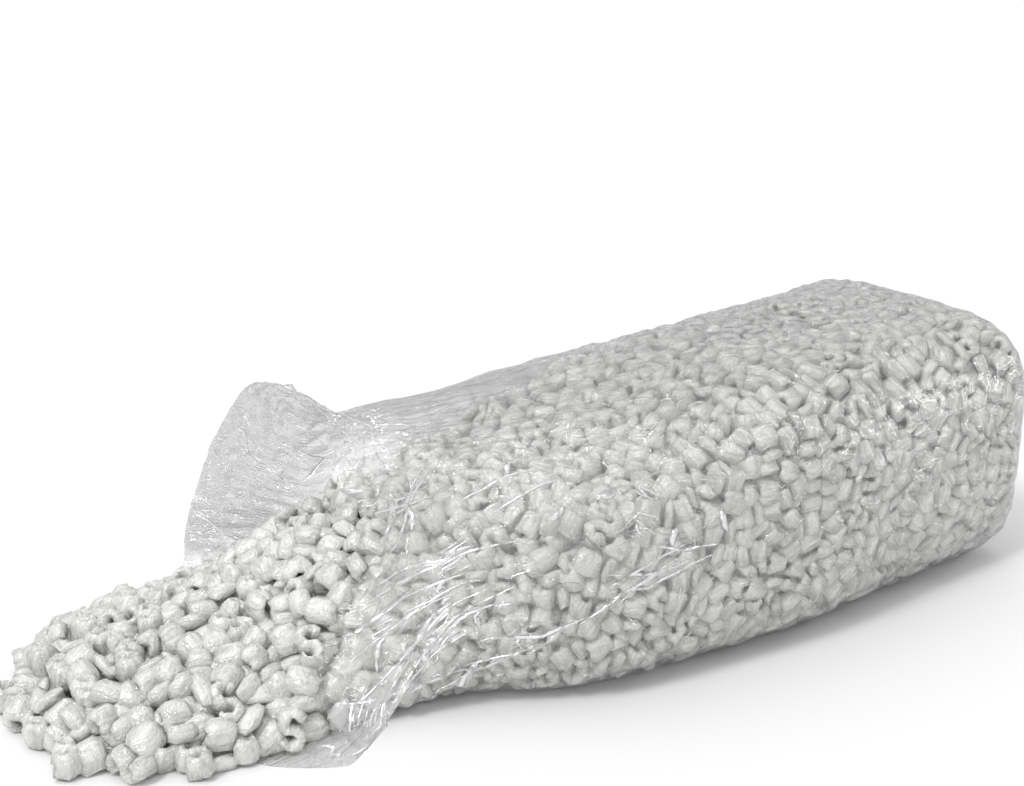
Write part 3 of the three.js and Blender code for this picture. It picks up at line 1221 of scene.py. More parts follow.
@dataclass
class LooseFill:
    """Every loose peanut, packed by pushing overlapping ones apart inside the film and the heap.

    Each peanut is two balls, one in each bend, held a fixed way apart.

    Attributes:
        bag: The film's smooth form.
        heap: The heap's form.
        fixed: The peanuts that stay where the frame puts them.
        ball: A ball's radius.
        half_length: From a peanut's middle to each ball's.
        room_each: The space that one peanut takes.
        film_gap: How far balls stay off the film.
        rounds: How many times overlapping balls are pushed apart.
        settle: How far the poured ones sink each round.
        poured_swell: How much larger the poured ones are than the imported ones.
        seed: The start of the random numbers.
        pour: The heap's middle, half width and height, going on into the bag.
        switch_x: How far into the bag the heap's shape still holds peanuts.
        tip_x: The heap's farthest point.
        scatter_low: The lowest X and Y at which peanuts start.
        scatter_high: The highest Y and Z at which they do.
        tries: How many places are tried for them.
        push_share: How much of an overlap one round takes away.
        pairs_every: How many rounds the list of near pairs lasts.
        near_margin: How far apart two balls can be to be on it.
        skirt_every: How many rounds pass before the skirt pushes again.
        skirt_step: The farthest that it pushes at once.
    """

    bag: BagForm
    heap: HeapForm
    fixed: Peanuts
    ball: float = 0.0125
    half_length: float = 0.0086
    room_each: float = 19.0e-6
    film_gap: float = 0.0012
    rounds: int = 240
    settle: float = 0.00012
    poured_swell: float = 0.21
    seed: int = 7
    pour: Table = Table((*HEAP_TIP, (-60, 148, 150, 144), (30, 105, 152, 196), (120, 58, 170, 206)))
    switch_x: float = 0.12
    tip_x: float = -0.372
    scatter_low: tuple[float, float] = (-0.375, -0.19)
    scatter_high: tuple[float, float] = (0.36, 0.33)
    tries: int = 120000
    push_share: float = 0.55
    pairs_every: int = 5
    near_margin: float = 0.003
    skirt_every: int = 2
    skirt_step: float = 0.004

    def pack(self) -> Peanuts:
        """Scatters, relaxes and returns the loose peanuts.

        Returns:
            The loose peanuts.
        """
        rng = np.random.default_rng(self.seed)
        middles = self.scatter(rng)
        direction = unit(rng.normal(size=middles.shape))
        balls = self.two_balls(middles, direction)
        walls = self.skirt_wall()
        still = self.two_balls(self.fixed.middles, self.fixed.axes[:, :, 1]).reshape(-1, 3)
        loose = len(balls) * 2
        pairs = None
        for step in range(self.rounds):
            flat = balls.reshape(-1, 3)
            everyone = np.vstack([flat, still])
            if step % self.pairs_every == 0:
                pairs = self.near_pairs(everyone, loose)
            push = self.push_apart(everyone, pairs, loose)
            flat = flat + push[:loose] * self.push_share
            flat[:, 2] -= self.settle * (1 - smooth_step(-0.02, 0.1, flat[:, 0]))
            balls = self.hold_length(flat.reshape(-1, 2, 3))
            flat = self.hold_inside(balls.reshape(-1, 3))
            if step % self.skirt_every == 0:
                flat = self.hold_under_skirt(flat, walls)
            balls = flat.reshape(-1, 2, 3)
        balls = self.hold_length(balls)
        LOG.info("packed %d loose peanuts", len(balls))
        return self.turned(balls, rng)

    def two_balls(self, middles: Array, direction: Array) -> Array:
        """Each peanut's two balls, the same way to both sides of its middle."""
        return np.stack([middles + direction * self.half_length, middles - direction * self.half_length], 1)

    def scatter(self, rng: np.random.Generator) -> Array:
        """Random middles through the space that the fill and the heap take.

        Args:
            rng: The random numbers' source.

        Returns:
            As many middles as there is room for.
        """
        low = np.array([*self.scatter_low, self.ball])
        high = np.array([self.bag.closed_end_x - self.ball, *self.scatter_high])
        points = rng.uniform(low, high, (self.tries, 3))
        held = self.hold_inside(points.copy())
        inside = np.linalg.norm(held - points, axis=1) < 1e-9
        inside &= self.within_film(points)
        volume = inside.mean() * np.prod(high - low)
        wanted = int(volume / self.room_each)
        return points[inside][:wanted]

    def within_film(self, points: Array) -> Array:
        """True for points not beyond the film's near or far side where it is only a skirt."""
        middle, half, _ = self.pour.at(points[:, 0])
        return (points[:, 0] > self.switch_x) | (np.abs(points[:, 1] - middle) < half)

    def near_pairs(self, points: Array, loose: int) -> Array:
        """Pairs of balls near enough to meet soon, from sorting them into cubes.

        Args:
            points: Every ball.
            loose: How many of them, from the first, can move.

        Returns:
            Index pairs, never two balls of one peanut nor two fixed ones.
        """
        reach = 2 * self.ball + self.near_margin
        cells = np.floor((points - points.min(0)) / reach).astype(np.int64) + 1
        cubes = Cubes(cells, cells.max(0) + 2)
        found = []
        for offset in product((0, 1), (-1, 0, 1), (-1, 0, 1)):
            if offset < (0, 0, 0):
                continue
            first, second = cubes.found(cells + offset)
            keep = first < second if offset == (0, 0, 0) else first != second
            found.append(np.stack([first[keep], second[keep]], 1))
        pairs = np.vstack(found)
        same = (pairs[:, 0] // 2 == pairs[:, 1] // 2) & (pairs.max(1) < loose)
        both_fixed = pairs.min(1) >= loose
        close = np.linalg.norm(points[pairs[:, 0]] - points[pairs[:, 1]], axis=1) < reach
        return pairs[close & ~same & ~both_fixed]

    def push_apart(self, points: Array, pairs: Array, loose: int) -> Array:
        """How far each ball moves so that overlapping pairs part, the fixed ones giving no way.

        Args:
            points: Every ball.
            pairs: Which of them are near each other.
            loose: How many of them, from the first, can move.

        Returns:
            One move per ball.
        """
        a, b = pairs[:, 0], pairs[:, 1]
        gap = points[a] - points[b]
        distance = np.linalg.norm(gap, axis=1)
        depth = np.maximum(2 * self.ball - distance, 0.0)
        step = gap / np.maximum(distance, 1e-9)[:, None] * depth[:, None]
        share_a = np.where(b >= loose, 1.0, 0.5)[:, None]
        share_b = np.where(a >= loose, 1.0, 0.5)[:, None]
        move_a, move_b = step * share_a, -step * share_b
        count = len(points)
        return np.stack(
            [
                np.bincount(a, move_a[:, axis], count) + np.bincount(b, move_b[:, axis], count)
                for axis in range(3)
            ],
            1,
        )

    def hold_length(self, balls: Array) -> Array:
        """Puts each peanut's two balls back to their fixed distance about their middle."""
        return self.two_balls(balls.mean(1), unit(balls[:, 0] - balls[:, 1]))

    def hold_inside(self, points: Array) -> Array:
        """Brings points back inside the film, or inside the heap's skin, and off the floor.

        Args:
            points: Every loose ball.

        Returns:
            The same, held.
        """
        held = points.copy()
        x = np.clip(held[:, 0], self.tip_x, self.bag.closed_end_x - self.ball - self.film_gap)
        held[:, 0] = x
        in_bag = x > self.bag.mouth_x
        held[in_bag] = self.hold_in_body(held[in_bag])
        in_heap = x < self.switch_x
        held[in_heap] = self.hold_in_heap(held[in_heap])
        held[:, 2] = np.maximum(held[:, 2], self.ball + 0.001)
        return held

    def hold_in_body(self, points: Array) -> Array:
        """Scales points back to the body's section, less a ball's radius, and under the fill's top.

        Args:
            points: Balls in the bag's body.

        Returns:
            The same, held.
        """
        x = points[:, 0]
        middle, width, height, squareness = self.bag.sections.at(x)
        round_radius = self.bag.end_radius - self.ball * 0.5
        drop = np.clip(x - (self.bag.closed_end_x - self.bag.end_radius), 0.0, round_radius)
        inset = self.ball + self.film_gap + round_radius - np.sqrt(round_radius**2 - drop**2)
        across = points[:, 1] - middle
        rise = points[:, 2] - (height - self.bag.floor_sink) / 2
        half_height = (height + self.bag.floor_sink) / 2 - inset
        scale = scale_back(across, rise, width / 2 - inset, half_height, squareness)
        (top,) = self.bag.fill_top.at(x)
        lift = rise * scale + (height - self.bag.floor_sink) / 2
        lift = np.minimum(lift, top - self.ball)
        return np.stack([x, middle + across * scale, lift], 1)

    def hold_in_heap(self, points: Array) -> Array:
        """Scales points back to the heap's skin at their x.

        Args:
            points: Balls in the heap.

        Returns:
            The same, held.
        """
        x = points[:, 0]
        middle, half, height = self.pour.at(x)
        squareness = self.heap.squareness + 1.2 * smooth_step(-0.1, 0.08, x)
        across = points[:, 1] - middle
        lift = np.maximum(points[:, 2], 0.0)
        scale = scale_back(across, lift, half, height, squareness)
        return np.stack([x, middle + across * scale, lift * scale], 1)

    def skirt_wall(self) -> tuple[Array, Array, Array]:
        """The film's skirt as points, inward directions and whether each is on the rim.

        Returns:
            The three arrays, one row per point.
        """
        turn = np.arange(96) / 96
        rows = self.bag.skirt(turn, np.linspace(0, 1, 15))
        along = np.gradient(rows, axis=0)
        around = (np.roll(rows, -1, 1) - np.roll(rows, 1, 1)) / 2
        inwards = unit(np.cross(along, around))
        on_rim = np.zeros(rows.shape[:2], bool)
        on_rim[-1] = True
        return rows.reshape(-1, 3), inwards.reshape(-1, 3), on_rim.reshape(-1)

    def hold_under_skirt(self, points: Array, walls: tuple[Array, Array, Array]) -> Array:
        """Moves balls near the skirt to its inner side, and balls at the rim clear of its edge.

        Args:
            points: Every loose ball, which are moved in place.
            walls: The skirt, as skirt_wall gives it.

        Returns:
            The balls.
        """
        wall, inwards, on_rim = walls
        near = np.flatnonzero(points[:, 0] < 0.06)
        chosen = points[near]
        squared = (chosen**2).sum(1)[:, None] + (wall**2).sum(1)[None] - 2 * chosen @ wall.T
        nearest = squared.argmin(1)
        gap = chosen - wall[nearest]
        distance = np.sqrt(np.maximum(squared.min(1), 1e-12))
        depth = (gap * inwards[nearest]).sum(1)
        reach = self.ball + self.film_gap
        inside = ~on_rim[nearest] & (distance < 0.05) & (depth < reach)
        move = np.where(inside, reach - depth, 0.0)[:, None] * inwards[nearest]
        brushing = on_rim[nearest] & (distance < reach) & (wall[nearest][:, 2] > 0.004)
        move += np.where(brushing, reach - distance, 0.0)[:, None] * gap / distance[:, None]
        length = np.linalg.norm(move, axis=1, keepdims=True)
        points[near] = chosen + move * np.minimum(1.0, self.skirt_step / np.maximum(length, 1e-9))
        return points

    def turned(self, balls: Array, rng: np.random.Generator) -> Peanuts:
        """Peanuts whose long axes follow their balls, with their barrel sides mostly facing out.

        Args:
            balls: Each peanut's two balls.
            rng: The random numbers' source.

        Returns:
            The peanuts.
        """
        middles = balls.mean(1)
        long_axis = unit(balls[:, 0] - balls[:, 1])
        helper = self.outwards(middles) + rng.normal(0.0, 0.33, middles.shape)
        across = unit(helper - long_axis * (helper * long_axis).sum(1, keepdims=True))
        axes = np.stack([across, long_axis, np.cross(across, long_axis)], -1)
        sizes = rng.normal(1.0, 0.05, (len(balls), 3)).clip(0.88, 1.12)
        sizes *= 1 + self.poured_swell * (1 - smooth_step(-0.15, 0.05, middles[:, :1]))
        return Peanuts(middles, axes, sizes)

    def outwards(self, middles: Array) -> Array:
        """The way out to the nearest side of the bag or the heap, as its section's slope gives it.

        Args:
            middles: The peanuts' middles.

        Returns:
            One unit vector per peanut.
        """
        x = middles[:, 0]
        middle, width, height, _ = self.bag.sections.at(x)
        side = 2 * (middles[:, 1] - middle) / width
        rise = 2 * middles[:, 2] / height - 1
        end = smooth_step(-0.06, 0.0, x - self.bag.closed_end_x)
        in_bag = np.stack([end, side**3, rise**3], 1)
        heap_middle, half, top = self.pour.at(x)
        heap_side = (middles[:, 1] - heap_middle) / half
        in_heap = np.stack([np.full(len(x), -0.3), heap_side, middles[:, 2] / top], 1)
        return unit(np.where((x < 0.02)[:, None], in_heap, in_bag))

    def depth_below(self, middles: Array) -> Array:
        """How deep each peanut's middle lies below the fill's nearest outer surface.

        Args:
            middles: The peanuts' middles.

        Returns:
            One depth per peanut, in metres.
        """
        x = middles[:, 0]
        middle, width, height, _ = self.bag.sections.at(x)
        (top,) = self.bag.fill_top.at(x)
        sideways = width / 2 - np.abs(middles[:, 1] - middle)
        upwards = np.minimum(np.minimum(top, height) - middles[:, 2], middles[:, 2] + 0.02)
        return np.minimum(np.minimum(sideways, upwards), self.bag.closed_end_x - x)


# --------------------------------------------------------------------------------------------- film


@dataclass
class FilmBag:
    """The clear film bag, one thin sheet: tight over the fill, slack and crumpled at its mouth.

    Attributes:
        bag: The smooth outer surface.
        fill: Points of the peanuts, which the film lies tight over.
        reach: How far round a point of the fill it holds the film up.
        top_radius: How round the film is over such a point.
        clearance: How far the film stays off the fill.
        hollow: How far the film can drop where nothing holds it up.
        pull: How many times the film is pulled straight between what it touches.
        around: Points in each row round the bag.
        rows: Rows of the closed end's face, its rounding, the body and the skirt.
        girth: The flat film's width, which goes once round the bag.
        length: The flat film's length.
        big_facets: How many large crumpled facets it has.
        small_facets: How many small ones.
        tight_crumple: The facets' height where the film is tight.
        big_crumple: How much higher the large ones are where it is slack.
        small_crumple: How much higher the small ones are there.
        gather_height: The height of the gathers there.
        ridge_count: How many long ridges it has.
        seed: The start of the random numbers.
    """

    bag: BagForm
    fill: Array
    reach: float = 0.008
    top_radius: float = 0.010
    clearance: float = 0.0006
    hollow: float = 0.0055
    pull: int = 9
    around: int = 360
    rows: tuple[int, int, int, int] = (30, 12, 164, 60)
    girth: float = 1.34
    length: float = 1.25
    big_facets: int = 420
    small_facets: int = 1900
    tight_crumple: float = 0.0004
    big_crumple: float = 0.0070
    small_crumple: float = 0.0032
    gather_height: float = 0.0030
    ridge_count: int = 170
    seed: int = 11

    def build(self, rests_on: Sequence[str]) -> bpy.types.Object:
        """Film this clear shades almost nothing, so neither shadows nor bounced light stop at it.

        Args:
            rests_on: The names of the pieces that hold it up; not used.

        Returns:
            The film.
        """
        grid = self.grid()
        piece = new_piece("clear_bag", grid, FilmFinish().build())
        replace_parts(piece, "bag_film")
        shape = (sum(self.rows), self.around)
        laid = grid.points[:-1].reshape(*shape, 3)
        slack = grid.marks["slack"][:-1].reshape(shape)
        run = grid.flat[:-1, 1].reshape(shape)[:, 0]
        folds = PinchedFolds(laid, self.normals(laid), slack, run, self.girth).build()
        for clear in (piece, folds):
            clear.visible_shadow = False
            clear.visible_diffuse = False
        return piece

    def grid(self) -> Grid:
        """The smooth film moved along its normals: held up by the fill, crumpled where it is slack.

        Returns:
            The film's mesh, with how creased, slack and free it is at each point.
        """
        rng = np.random.default_rng(self.seed)
        smooth = self.bag.film_grid(self.around, self.rows)
        count, around, _ = smooth.shape
        outwards = self.normals(smooth)
        walked = np.linalg.norm(np.diff(smooth, axis=0), axis=2).mean(1)
        run = np.concatenate([[0.0], np.cumsum(walked)])
        turns, runs = np.meshgrid(np.arange(around) / around, run)
        flat = np.stack([turns * self.girth, runs], -1)
        slack = self.slackness(smooth)
        support = self.held_up(smooth, outwards)
        held = self.pulled(np.minimum(support, 0.004))
        big, big_edges = self.facets(smooth, self.big_facets, rng, slack)
        small, small_edges = self.facets(smooth, self.small_facets, rng, slack)
        ridges = self.ridges(flat, smooth, slack, rng)
        gathers = self.gathers(turns, runs, rng)
        height = held * (1 - 0.75 * slack)
        height += (self.tight_crumple + self.big_crumple * slack) * (big - 0.35)
        height += (self.tight_crumple + self.small_crumple * slack) * (small - 0.35)
        height += self.gather_height * slack * gathers + ridges
        # The crease mark tells the material where to whiten the film: partly stress whitening, partly painted
        # highlight.
        crease = 0.55 * np.exp(-big_edges / 0.05) + 0.45 * np.exp(-small_edges / 0.06)
        crease = crease * (0.12 + 0.88 * slack) + 0.12 * slack * np.maximum(gathers, 0)
        crease += np.clip(ridges / 0.006, 0, 0.6)
        height *= 0.12 + 0.88 * smooth_step(0.0, 0.03, smooth[..., 2])
        height = np.maximum(height, np.minimum(support, 0.012))
        points = smooth + outwards * height[..., None]
        points[..., 2] = np.maximum(points[..., 2], 0.0002)
        middle = self.bag.end_middle()[None] + [[height[0].mean(), 0.0, 0.0]]
        total = count * around
        fan = np.arange(around)
        cap = np.stack([np.full(around, total), (fan + 1) % around, fan], -1)
        return Grid(
            np.vstack([points.reshape(-1, 3), middle]) - FOOTPRINT_MIDDLE,
            [ring_faces(count, around), cap],
            np.vstack([flat.reshape(-1, 2), [[self.girth / 2, 0.0]]]),
            {
                "crease": np.append(np.clip(crease, 0, 1).reshape(-1), 0.0),
                "slack": np.append(slack.reshape(-1), 0.0),
                "lip": np.append(self.free_film(smooth).reshape(-1), 0.0),
            },
        )

    def normals(self, points: Array) -> Array:
        """Unit normals of a grid that closes on itself sideways.

        Args:
            points: The grid's points.

        Returns:
            One normal per point.
        """
        along = np.gradient(points, axis=0)
        across = (np.roll(points, -1, 1) - np.roll(points, 1, 1)) / 2
        return unit(np.cross(across, along))

    def slackness(self, smooth: Array) -> Array:
        """0 where the film is tight over the fill, 1 at the mouth, between them over the loose front.

        Args:
            smooth: The smooth film.

        Returns:
            One number per point.
        """
        x, y, z = np.moveaxis(smooth, -1, 0)
        mouth = 1 - smooth_step(-0.02, 0.20, x)
        front = (1 - smooth_step(0.20, 0.42, x)) * smooth_step(0.09, 0.2, z)
        front = front * (1 - smooth_step(-0.02, 0.1, y))
        back = (1 - smooth_step(0.30, 0.50, x)) * smooth_step(0.2, 0.26, z)
        return np.clip(np.maximum(np.maximum(mouth, 0.8 * front), 0.45 * back), 0, 1)

    def free_film(self, smooth: Array) -> Array:
        """1 on the lip that stands up behind the heap and on the flap before it, 0 on the rest.

        Args:
            smooth: The smooth film.

        Returns:
            One number per point.
        """
        x, y, z = np.moveaxis(smooth, -1, 0)
        lip = (1 - smooth_step(-0.03, 0.06, x)) * smooth_step(0.10, 0.20, y) * smooth_step(0.03, 0.10, z)
        flap = (1 - smooth_step(-0.11, -0.06, x)) * (1 - smooth_step(0.02, 0.06, z))
        return np.maximum(lip, flap)

    def held_up(self, smooth: Array, outwards: Array) -> Array:
        """How far off the smooth surface the fill holds the film, as a round top over each point.

        Args:
            smooth: The smooth film.
            outwards: Its unit normals.

        Returns:
            Heights along the normals, no lower than the hollow.
        """
        flat, facing = smooth.reshape(-1, 3), outwards.reshape(-1, 3)
        low = np.minimum(flat.min(0), self.fill.min(0)) - self.reach
        cells = np.floor((self.fill - low) / self.reach).astype(np.int64)
        places = np.floor((flat - low) / self.reach).astype(np.int64)
        cubes = Cubes(cells, np.maximum(cells.max(0), places.max(0)) + 3)
        top = np.full(len(flat), -self.hollow)
        for offset in product((-1, 0, 1), repeat=3):
            point, under = cubes.found(places + offset)
            gap = self.fill[under] - flat[point]
            lift = (gap * facing[point]).sum(1)
            aside = (gap**2).sum(1) - lift**2
            rise = lift - aside / (2 * self.top_radius) + self.clearance
            near = aside < self.reach**2
            np.maximum.at(top, point[near], rise[near])
        return top.reshape(smooth.shape[:2])

    def pulled(self, support: Array) -> Array:
        """Pulls the film straight: each point rises to its neighbours' mean where that is higher.

        Args:
            support: The height at which the film is held up at each point.

        Returns:
            The film's height there.
        """
        held = support.copy()
        for _ in range(self.pull):
            ends = np.vstack([held[:1], held, held[-1:]])
            mean = (ends[:-2] + ends[2:] + np.roll(held, 1, 1) + np.roll(held, -1, 1)) / 4
            held = np.maximum(support, mean)
        return held

    def ridges(self, flat: Array, smooth: Array, slack: Array, rng: np.random.Generator) -> Array:
        """Long sharp folds: each is a straight line on the flat film that rises and falls along it.

        Args:
            flat: The film's flat coordinates.
            smooth: The film's places.
            slack: How loose it is.
            rng: The source of the lines.

        Returns:
            The height of the folds.
        """
        count = self.ridge_count
        spots = flat.reshape(-1, 2)
        chance = (slack.reshape(-1) ** 1.5 + 0.015) * (smooth[..., 2].reshape(-1) > 0.02)
        starts = spots[rng.choice(len(spots), count, p=chance / chance.sum())]
        heading = rng.normal(0.35, 0.55, count) + np.pi / 2
        total = np.zeros(flat.shape[:2])
        for start, angle in zip(starts, heading):
            reach = rng.uniform(0.03, 0.11)
            tall = rng.uniform(0.0015, 0.0045)
            width = rng.uniform(0.0035, 0.0075)
            gap = flat - start
            gap[..., 0] -= self.girth * np.round(gap[..., 0] / self.girth)
            along = (gap[..., 0] * math.cos(angle) + gap[..., 1] * math.sin(angle)) / reach
            bow = 0.12 * reach * (1 - along**2)
            aside = np.abs(-gap[..., 0] * math.sin(angle) + gap[..., 1] * math.cos(angle) - bow)
            near = (np.abs(along) < 1) & (aside < 4 * width)
            fold = tall * (1 - along[near] ** 2) * np.exp(-aside[near] / width)
            total[near] = np.maximum(total[near], fold)
        return total * (0.25 + 0.75 * slack)

    def facets(
        self, points: Array, count: int, rng: np.random.Generator, slack: Array
    ) -> tuple[Array, Array]:
        """Crumpled facets: the distance to the nearest of many random spots on the film.

        Args:
            points: The smooth film.
            count: How many spots.
            rng: Their source.
            slack: Where the film is loose, which takes more of the spots.

        Returns:
            The distance to the nearest spot over its usual size, and how near the border to the next
            spot's facet is, over the same size.
        """
        flat = points.reshape(-1, 3)
        chance = 0.35 + slack.reshape(-1)
        spots = flat[rng.choice(len(flat), count, replace=False, p=chance / chance.sum())]
        stretch = np.array([0.75, 1.1, 1.0])
        spots = (spots * stretch).astype(np.float32)
        usual = math.sqrt(1.5 / count)
        nearest = np.empty(len(flat))
        second = np.empty(len(flat))
        block_size = 8192
        for start in range(0, len(flat), block_size):
            here = slice(start, start + block_size)
            block = (flat[here] * stretch).astype(np.float32)
            squared = (block**2).sum(1)[:, None] + (spots**2).sum(1)[None] - 2 * block @ spots.T
            two = np.sqrt(np.maximum(np.partition(squared, 1, axis=1)[:, :2], 0))
            nearest[here] = two.min(1)
            second[here] = two.max(1)
        shape = points.shape[:-1]
        return (nearest / usual).reshape(shape), ((second - nearest) / usual).reshape(shape)

    def gathers(self, turns: Array, runs: Array, rng: np.random.Generator) -> Array:
        """Ripples that run along the bag and come and go: sharp-crested waves of the way round.

        Args:
            turns: The way round, from 0 to 1.
            runs: The distance along the film.
            rng: The random numbers' source.

        Returns:
            The ripples' height, from about -1 to 1.
        """
        total = np.zeros(turns.shape)
        for cycles in (34, 47, 61, 83):
            drift = rng.uniform(-5, 5)
            phase = cycles * turns + drift * runs + 0.5 * np.sin(9 * runs + cycles) + rng.uniform(0, 1)
            crest = 1 - np.abs(np.sin(np.pi * phase)) * 2
            total += crest * (0.6 + 0.4 * np.sin(2 * np.pi * (turns * 5 + rng.uniform(0, 1))))
        return total / 4


class FoldZone(Enum):
    """Where on the film a kind of fold lies."""

    FRONT = "loose front"
    LIP = "far lip"
    TIGHT = "tight film"


@dataclass(frozen=True)
class FoldKind:
    """One kind of sharp fold that stands off the film.

    Attributes:
        zone: Where they lie.
        bunches: How many bunches of side by side folds.
        each: How many folds a bunch has.
        gap: How far apart they lie in it.
        length: Their shortest and longest length.
        width: Their narrowest and widest foot.
        height: Their height as a share of the foot's width.
        heading: The usual way they run, turned from straight along the bag.
        spread: How much that differs from bunch to bunch.
        bend: How much each one bends, and kinks once.
        stations: Points along each.
    """

    zone: FoldZone
    bunches: int
    each: int
    gap: float
    length: tuple[float, float]
    width: tuple[float, float]
    height: float
    heading: float
    spread: float
    bend: float
    stations: int


FOLD_KINDS = (
    FoldKind(FoldZone.FRONT, 15, 2, 0.020, (0.070, 0.180), (0.0028, 0.0060), 0.5, 0.3, 0.35, 0.45, 19),
    FoldKind(FoldZone.FRONT, 15, 5, 0.0055, (0.016, 0.045), (0.0018, 0.0050), 0.4, 0.2, 0.7, 0.3, 9),
    FoldKind(FoldZone.FRONT, 20, 1, 0.0, (0.018, 0.045), (0.0070, 0.0150), 0.25, 0.9, 0.6, 0.5, 7),
    FoldKind(FoldZone.LIP, 52, 6, 0.0042, (0.010, 0.032), (0.0014, 0.0032), 0.4, 0.1, 0.35, 0.3, 7),
    FoldKind(FoldZone.TIGHT, 260, 2, 0.0050, (0.008, 0.022), (0.0009, 0.0020), 0.4, 0.6, 0.9, 0.7, 6),
)


@dataclass
class PinchedFolds:
    """Sharp folds of the film, each a thin closed tent along a bent line on the film.

    Attributes:
        film: The film's points, row by row.
        outwards: Its unit normals.
        slack: How loose it is.
        run: How far along the flat film each row lies.
        girth: How far round the flat film goes.
        sunk: How far a fold's foot is sunk into the film.
        rim_margin: How far folds stay from the rim.
        seed: The start of the random numbers.
    """

    film: Array
    outwards: Array
    slack: Array
    run: Array
    girth: float
    sunk: float = 0.0004
    rim_margin: float = 0.004
    seed: int = 31

    def build(self) -> bpy.types.Object:
        """Makes every kind of fold into one piece.

        Returns:
            The piece.
        """
        rng = np.random.default_rng(self.seed)
        points, quads, ends = [], [], []
        base = 0
        for kind in FOLD_KINDS:
            tents, tent_quads, tent_ends = self.tents(kind, rng)
            points.append(tents)
            quads.append(tent_quads + base)
            ends.append(tent_ends + base)
            base += len(tents)
        grid = Grid(np.vstack(points), [np.vstack(quads), np.vstack(ends)])
        return new_piece("film_folds", grid, FoldFinish().build())

    def chance(self, zone: FoldZone) -> Array:
        """How likely a fold starts at each point of the film.

        Args:
            zone: The kind's zone.

        Returns:
            One chance per point, 1 in all.
        """
        x, y, z = np.moveaxis(self.film + FOOTPRINT_MIDDLE, -1, 0)
        off_floor = smooth_step(0.010, 0.040, z)
        if zone is FoldZone.FRONT:
            near = 1 - smooth_step(0.06, 0.13, y)
            weight = near * smooth_step(0.25, 0.8, self.slack) * (1 - smooth_step(0.23, 0.28, z))
        elif zone is FoldZone.LIP:
            weight = smooth_step(0.08, 0.14, y) * (1 - smooth_step(0.0, 0.08, x)) * smooth_step(0.05, 0.1, z)
        else:
            weight = (1 - smooth_step(0.2, 0.4, self.slack)) * (1 - 0.75 * smooth_step(0.18, 0.26, z))
        weight = (weight * off_floor).reshape(-1)
        return weight / weight.sum()

    def on_film(self, values: Array, across: Array, along: Array) -> Array:
        """Values of the film's points at places between them, mixed from the four around each.

        Args:
            values: One vector per point of the film.
            across: How far round the flat film.
            along: How far along it.

        Returns:
            One vector per place.
        """
        rows, around = values.shape[:2]
        row = np.clip(np.interp(along, self.run, np.arange(rows)), 0, rows - 1.001)
        column = across / self.girth * around
        i, j = np.floor(row).astype(int), np.floor(column).astype(int)
        a, b = (row - i)[..., None], (column - j)[..., None]
        j, k = j % around, (j + 1) % around
        lower = values[i, j] * (1 - b) + values[i, k] * b
        upper = values[i + 1, j] * (1 - b) + values[i + 1, k] * b
        return lower * (1 - a) + upper * a

    def tents(self, kind: FoldKind, rng: np.random.Generator) -> tuple[Array, Array, Array]:
        """One kind's folds.

        A fold's line on the flat film is the running sum of equal steps whose heading bends evenly and
        kinks once. Its foot and height follow sin(pi s)^0.6 along it. Folds of the far lip stand on its
        inner side, which faces the mouth, and all others on the film's outside.

        Args:
            kind: The kind.
            rng: The source of the places and sizes.

        Returns:
            Points, the tents' quads and their end triangles.
        """
        count = kind.bunches * kind.each
        bunch = np.repeat(np.arange(kind.bunches), kind.each)
        chosen = rng.choice(self.slack.size, kind.bunches, p=self.chance(kind.zone))[bunch]
        i, j = np.unravel_index(chosen, self.slack.shape)
        heading = np.pi / 2 + kind.heading + rng.normal(0, kind.spread, kind.bunches)[bunch]
        heading = heading + rng.normal(0, 0.12, count)
        length = rng.uniform(*kind.length, count)
        aside = (np.tile(np.arange(kind.each), kind.bunches) - (kind.each - 1) / 2) * kind.gap
        aside = aside + rng.normal(0, 0.15, count) * kind.gap
        back = (rng.uniform(-0.3, 0.3, count) - 0.5) * length
        s = np.linspace(0, 1, kind.stations)
        kinks = (s > rng.uniform(0.2, 0.8, (count, 1))) * rng.normal(0, kind.bend, (count, 1))
        turned = heading[:, None] + rng.normal(0, kind.bend, (count, 1)) * (s - 0.5) + kinks
        step = length[:, None] / (kind.stations - 1)
        start_across = j / self.slack.shape[1] * self.girth - np.sin(heading) * aside + np.cos(heading) * back
        start_along = self.run[i] + np.cos(heading) * aside + np.sin(heading) * back
        across = start_across[:, None] + np.cumsum(np.cos(turned) * step, 1)
        along = start_along[:, None] + np.cumsum(np.sin(turned) * step, 1)
        over = along.max(1, keepdims=True) - (self.run[-1] - self.rim_margin)
        along = along - np.maximum(over, 0.0)
        spine = self.on_film(self.film, across, along)
        up = unit(self.on_film(self.outwards, across, along)) * (-1 if kind.zone is FoldZone.LIP else 1)
        sideways = unit(np.cross(up, np.gradient(spine, axis=1)))
        taper = (0.07 + 0.93 * np.sin(np.pi * s) ** 0.6) * rng.uniform(0.75, 1.25, (count, kind.stations))
        foot = (rng.uniform(*kind.width, (count, 1)) * taper)[..., None]
        points = np.stack(
            [
                spine + sideways * foot / 2 - up * self.sunk,
                spine + up * foot * kind.height,
                spine - sideways * foot / 2 - up * self.sunk,
            ],
            2,
        ).reshape(-1, 3)
        each = kind.stations * 3
        bases = np.arange(count)[:, None, None] * each
        quads = (ring_faces(kind.stations, 3)[None] + bases).reshape(-1, 4)
        ends = np.array([[0, 2, 1], [each - 3, each - 2, each - 1]])
        return points, quads, (ends[None] + bases).reshape(-1, 3)


# -------------------------------------------------------------------------------------- the picture


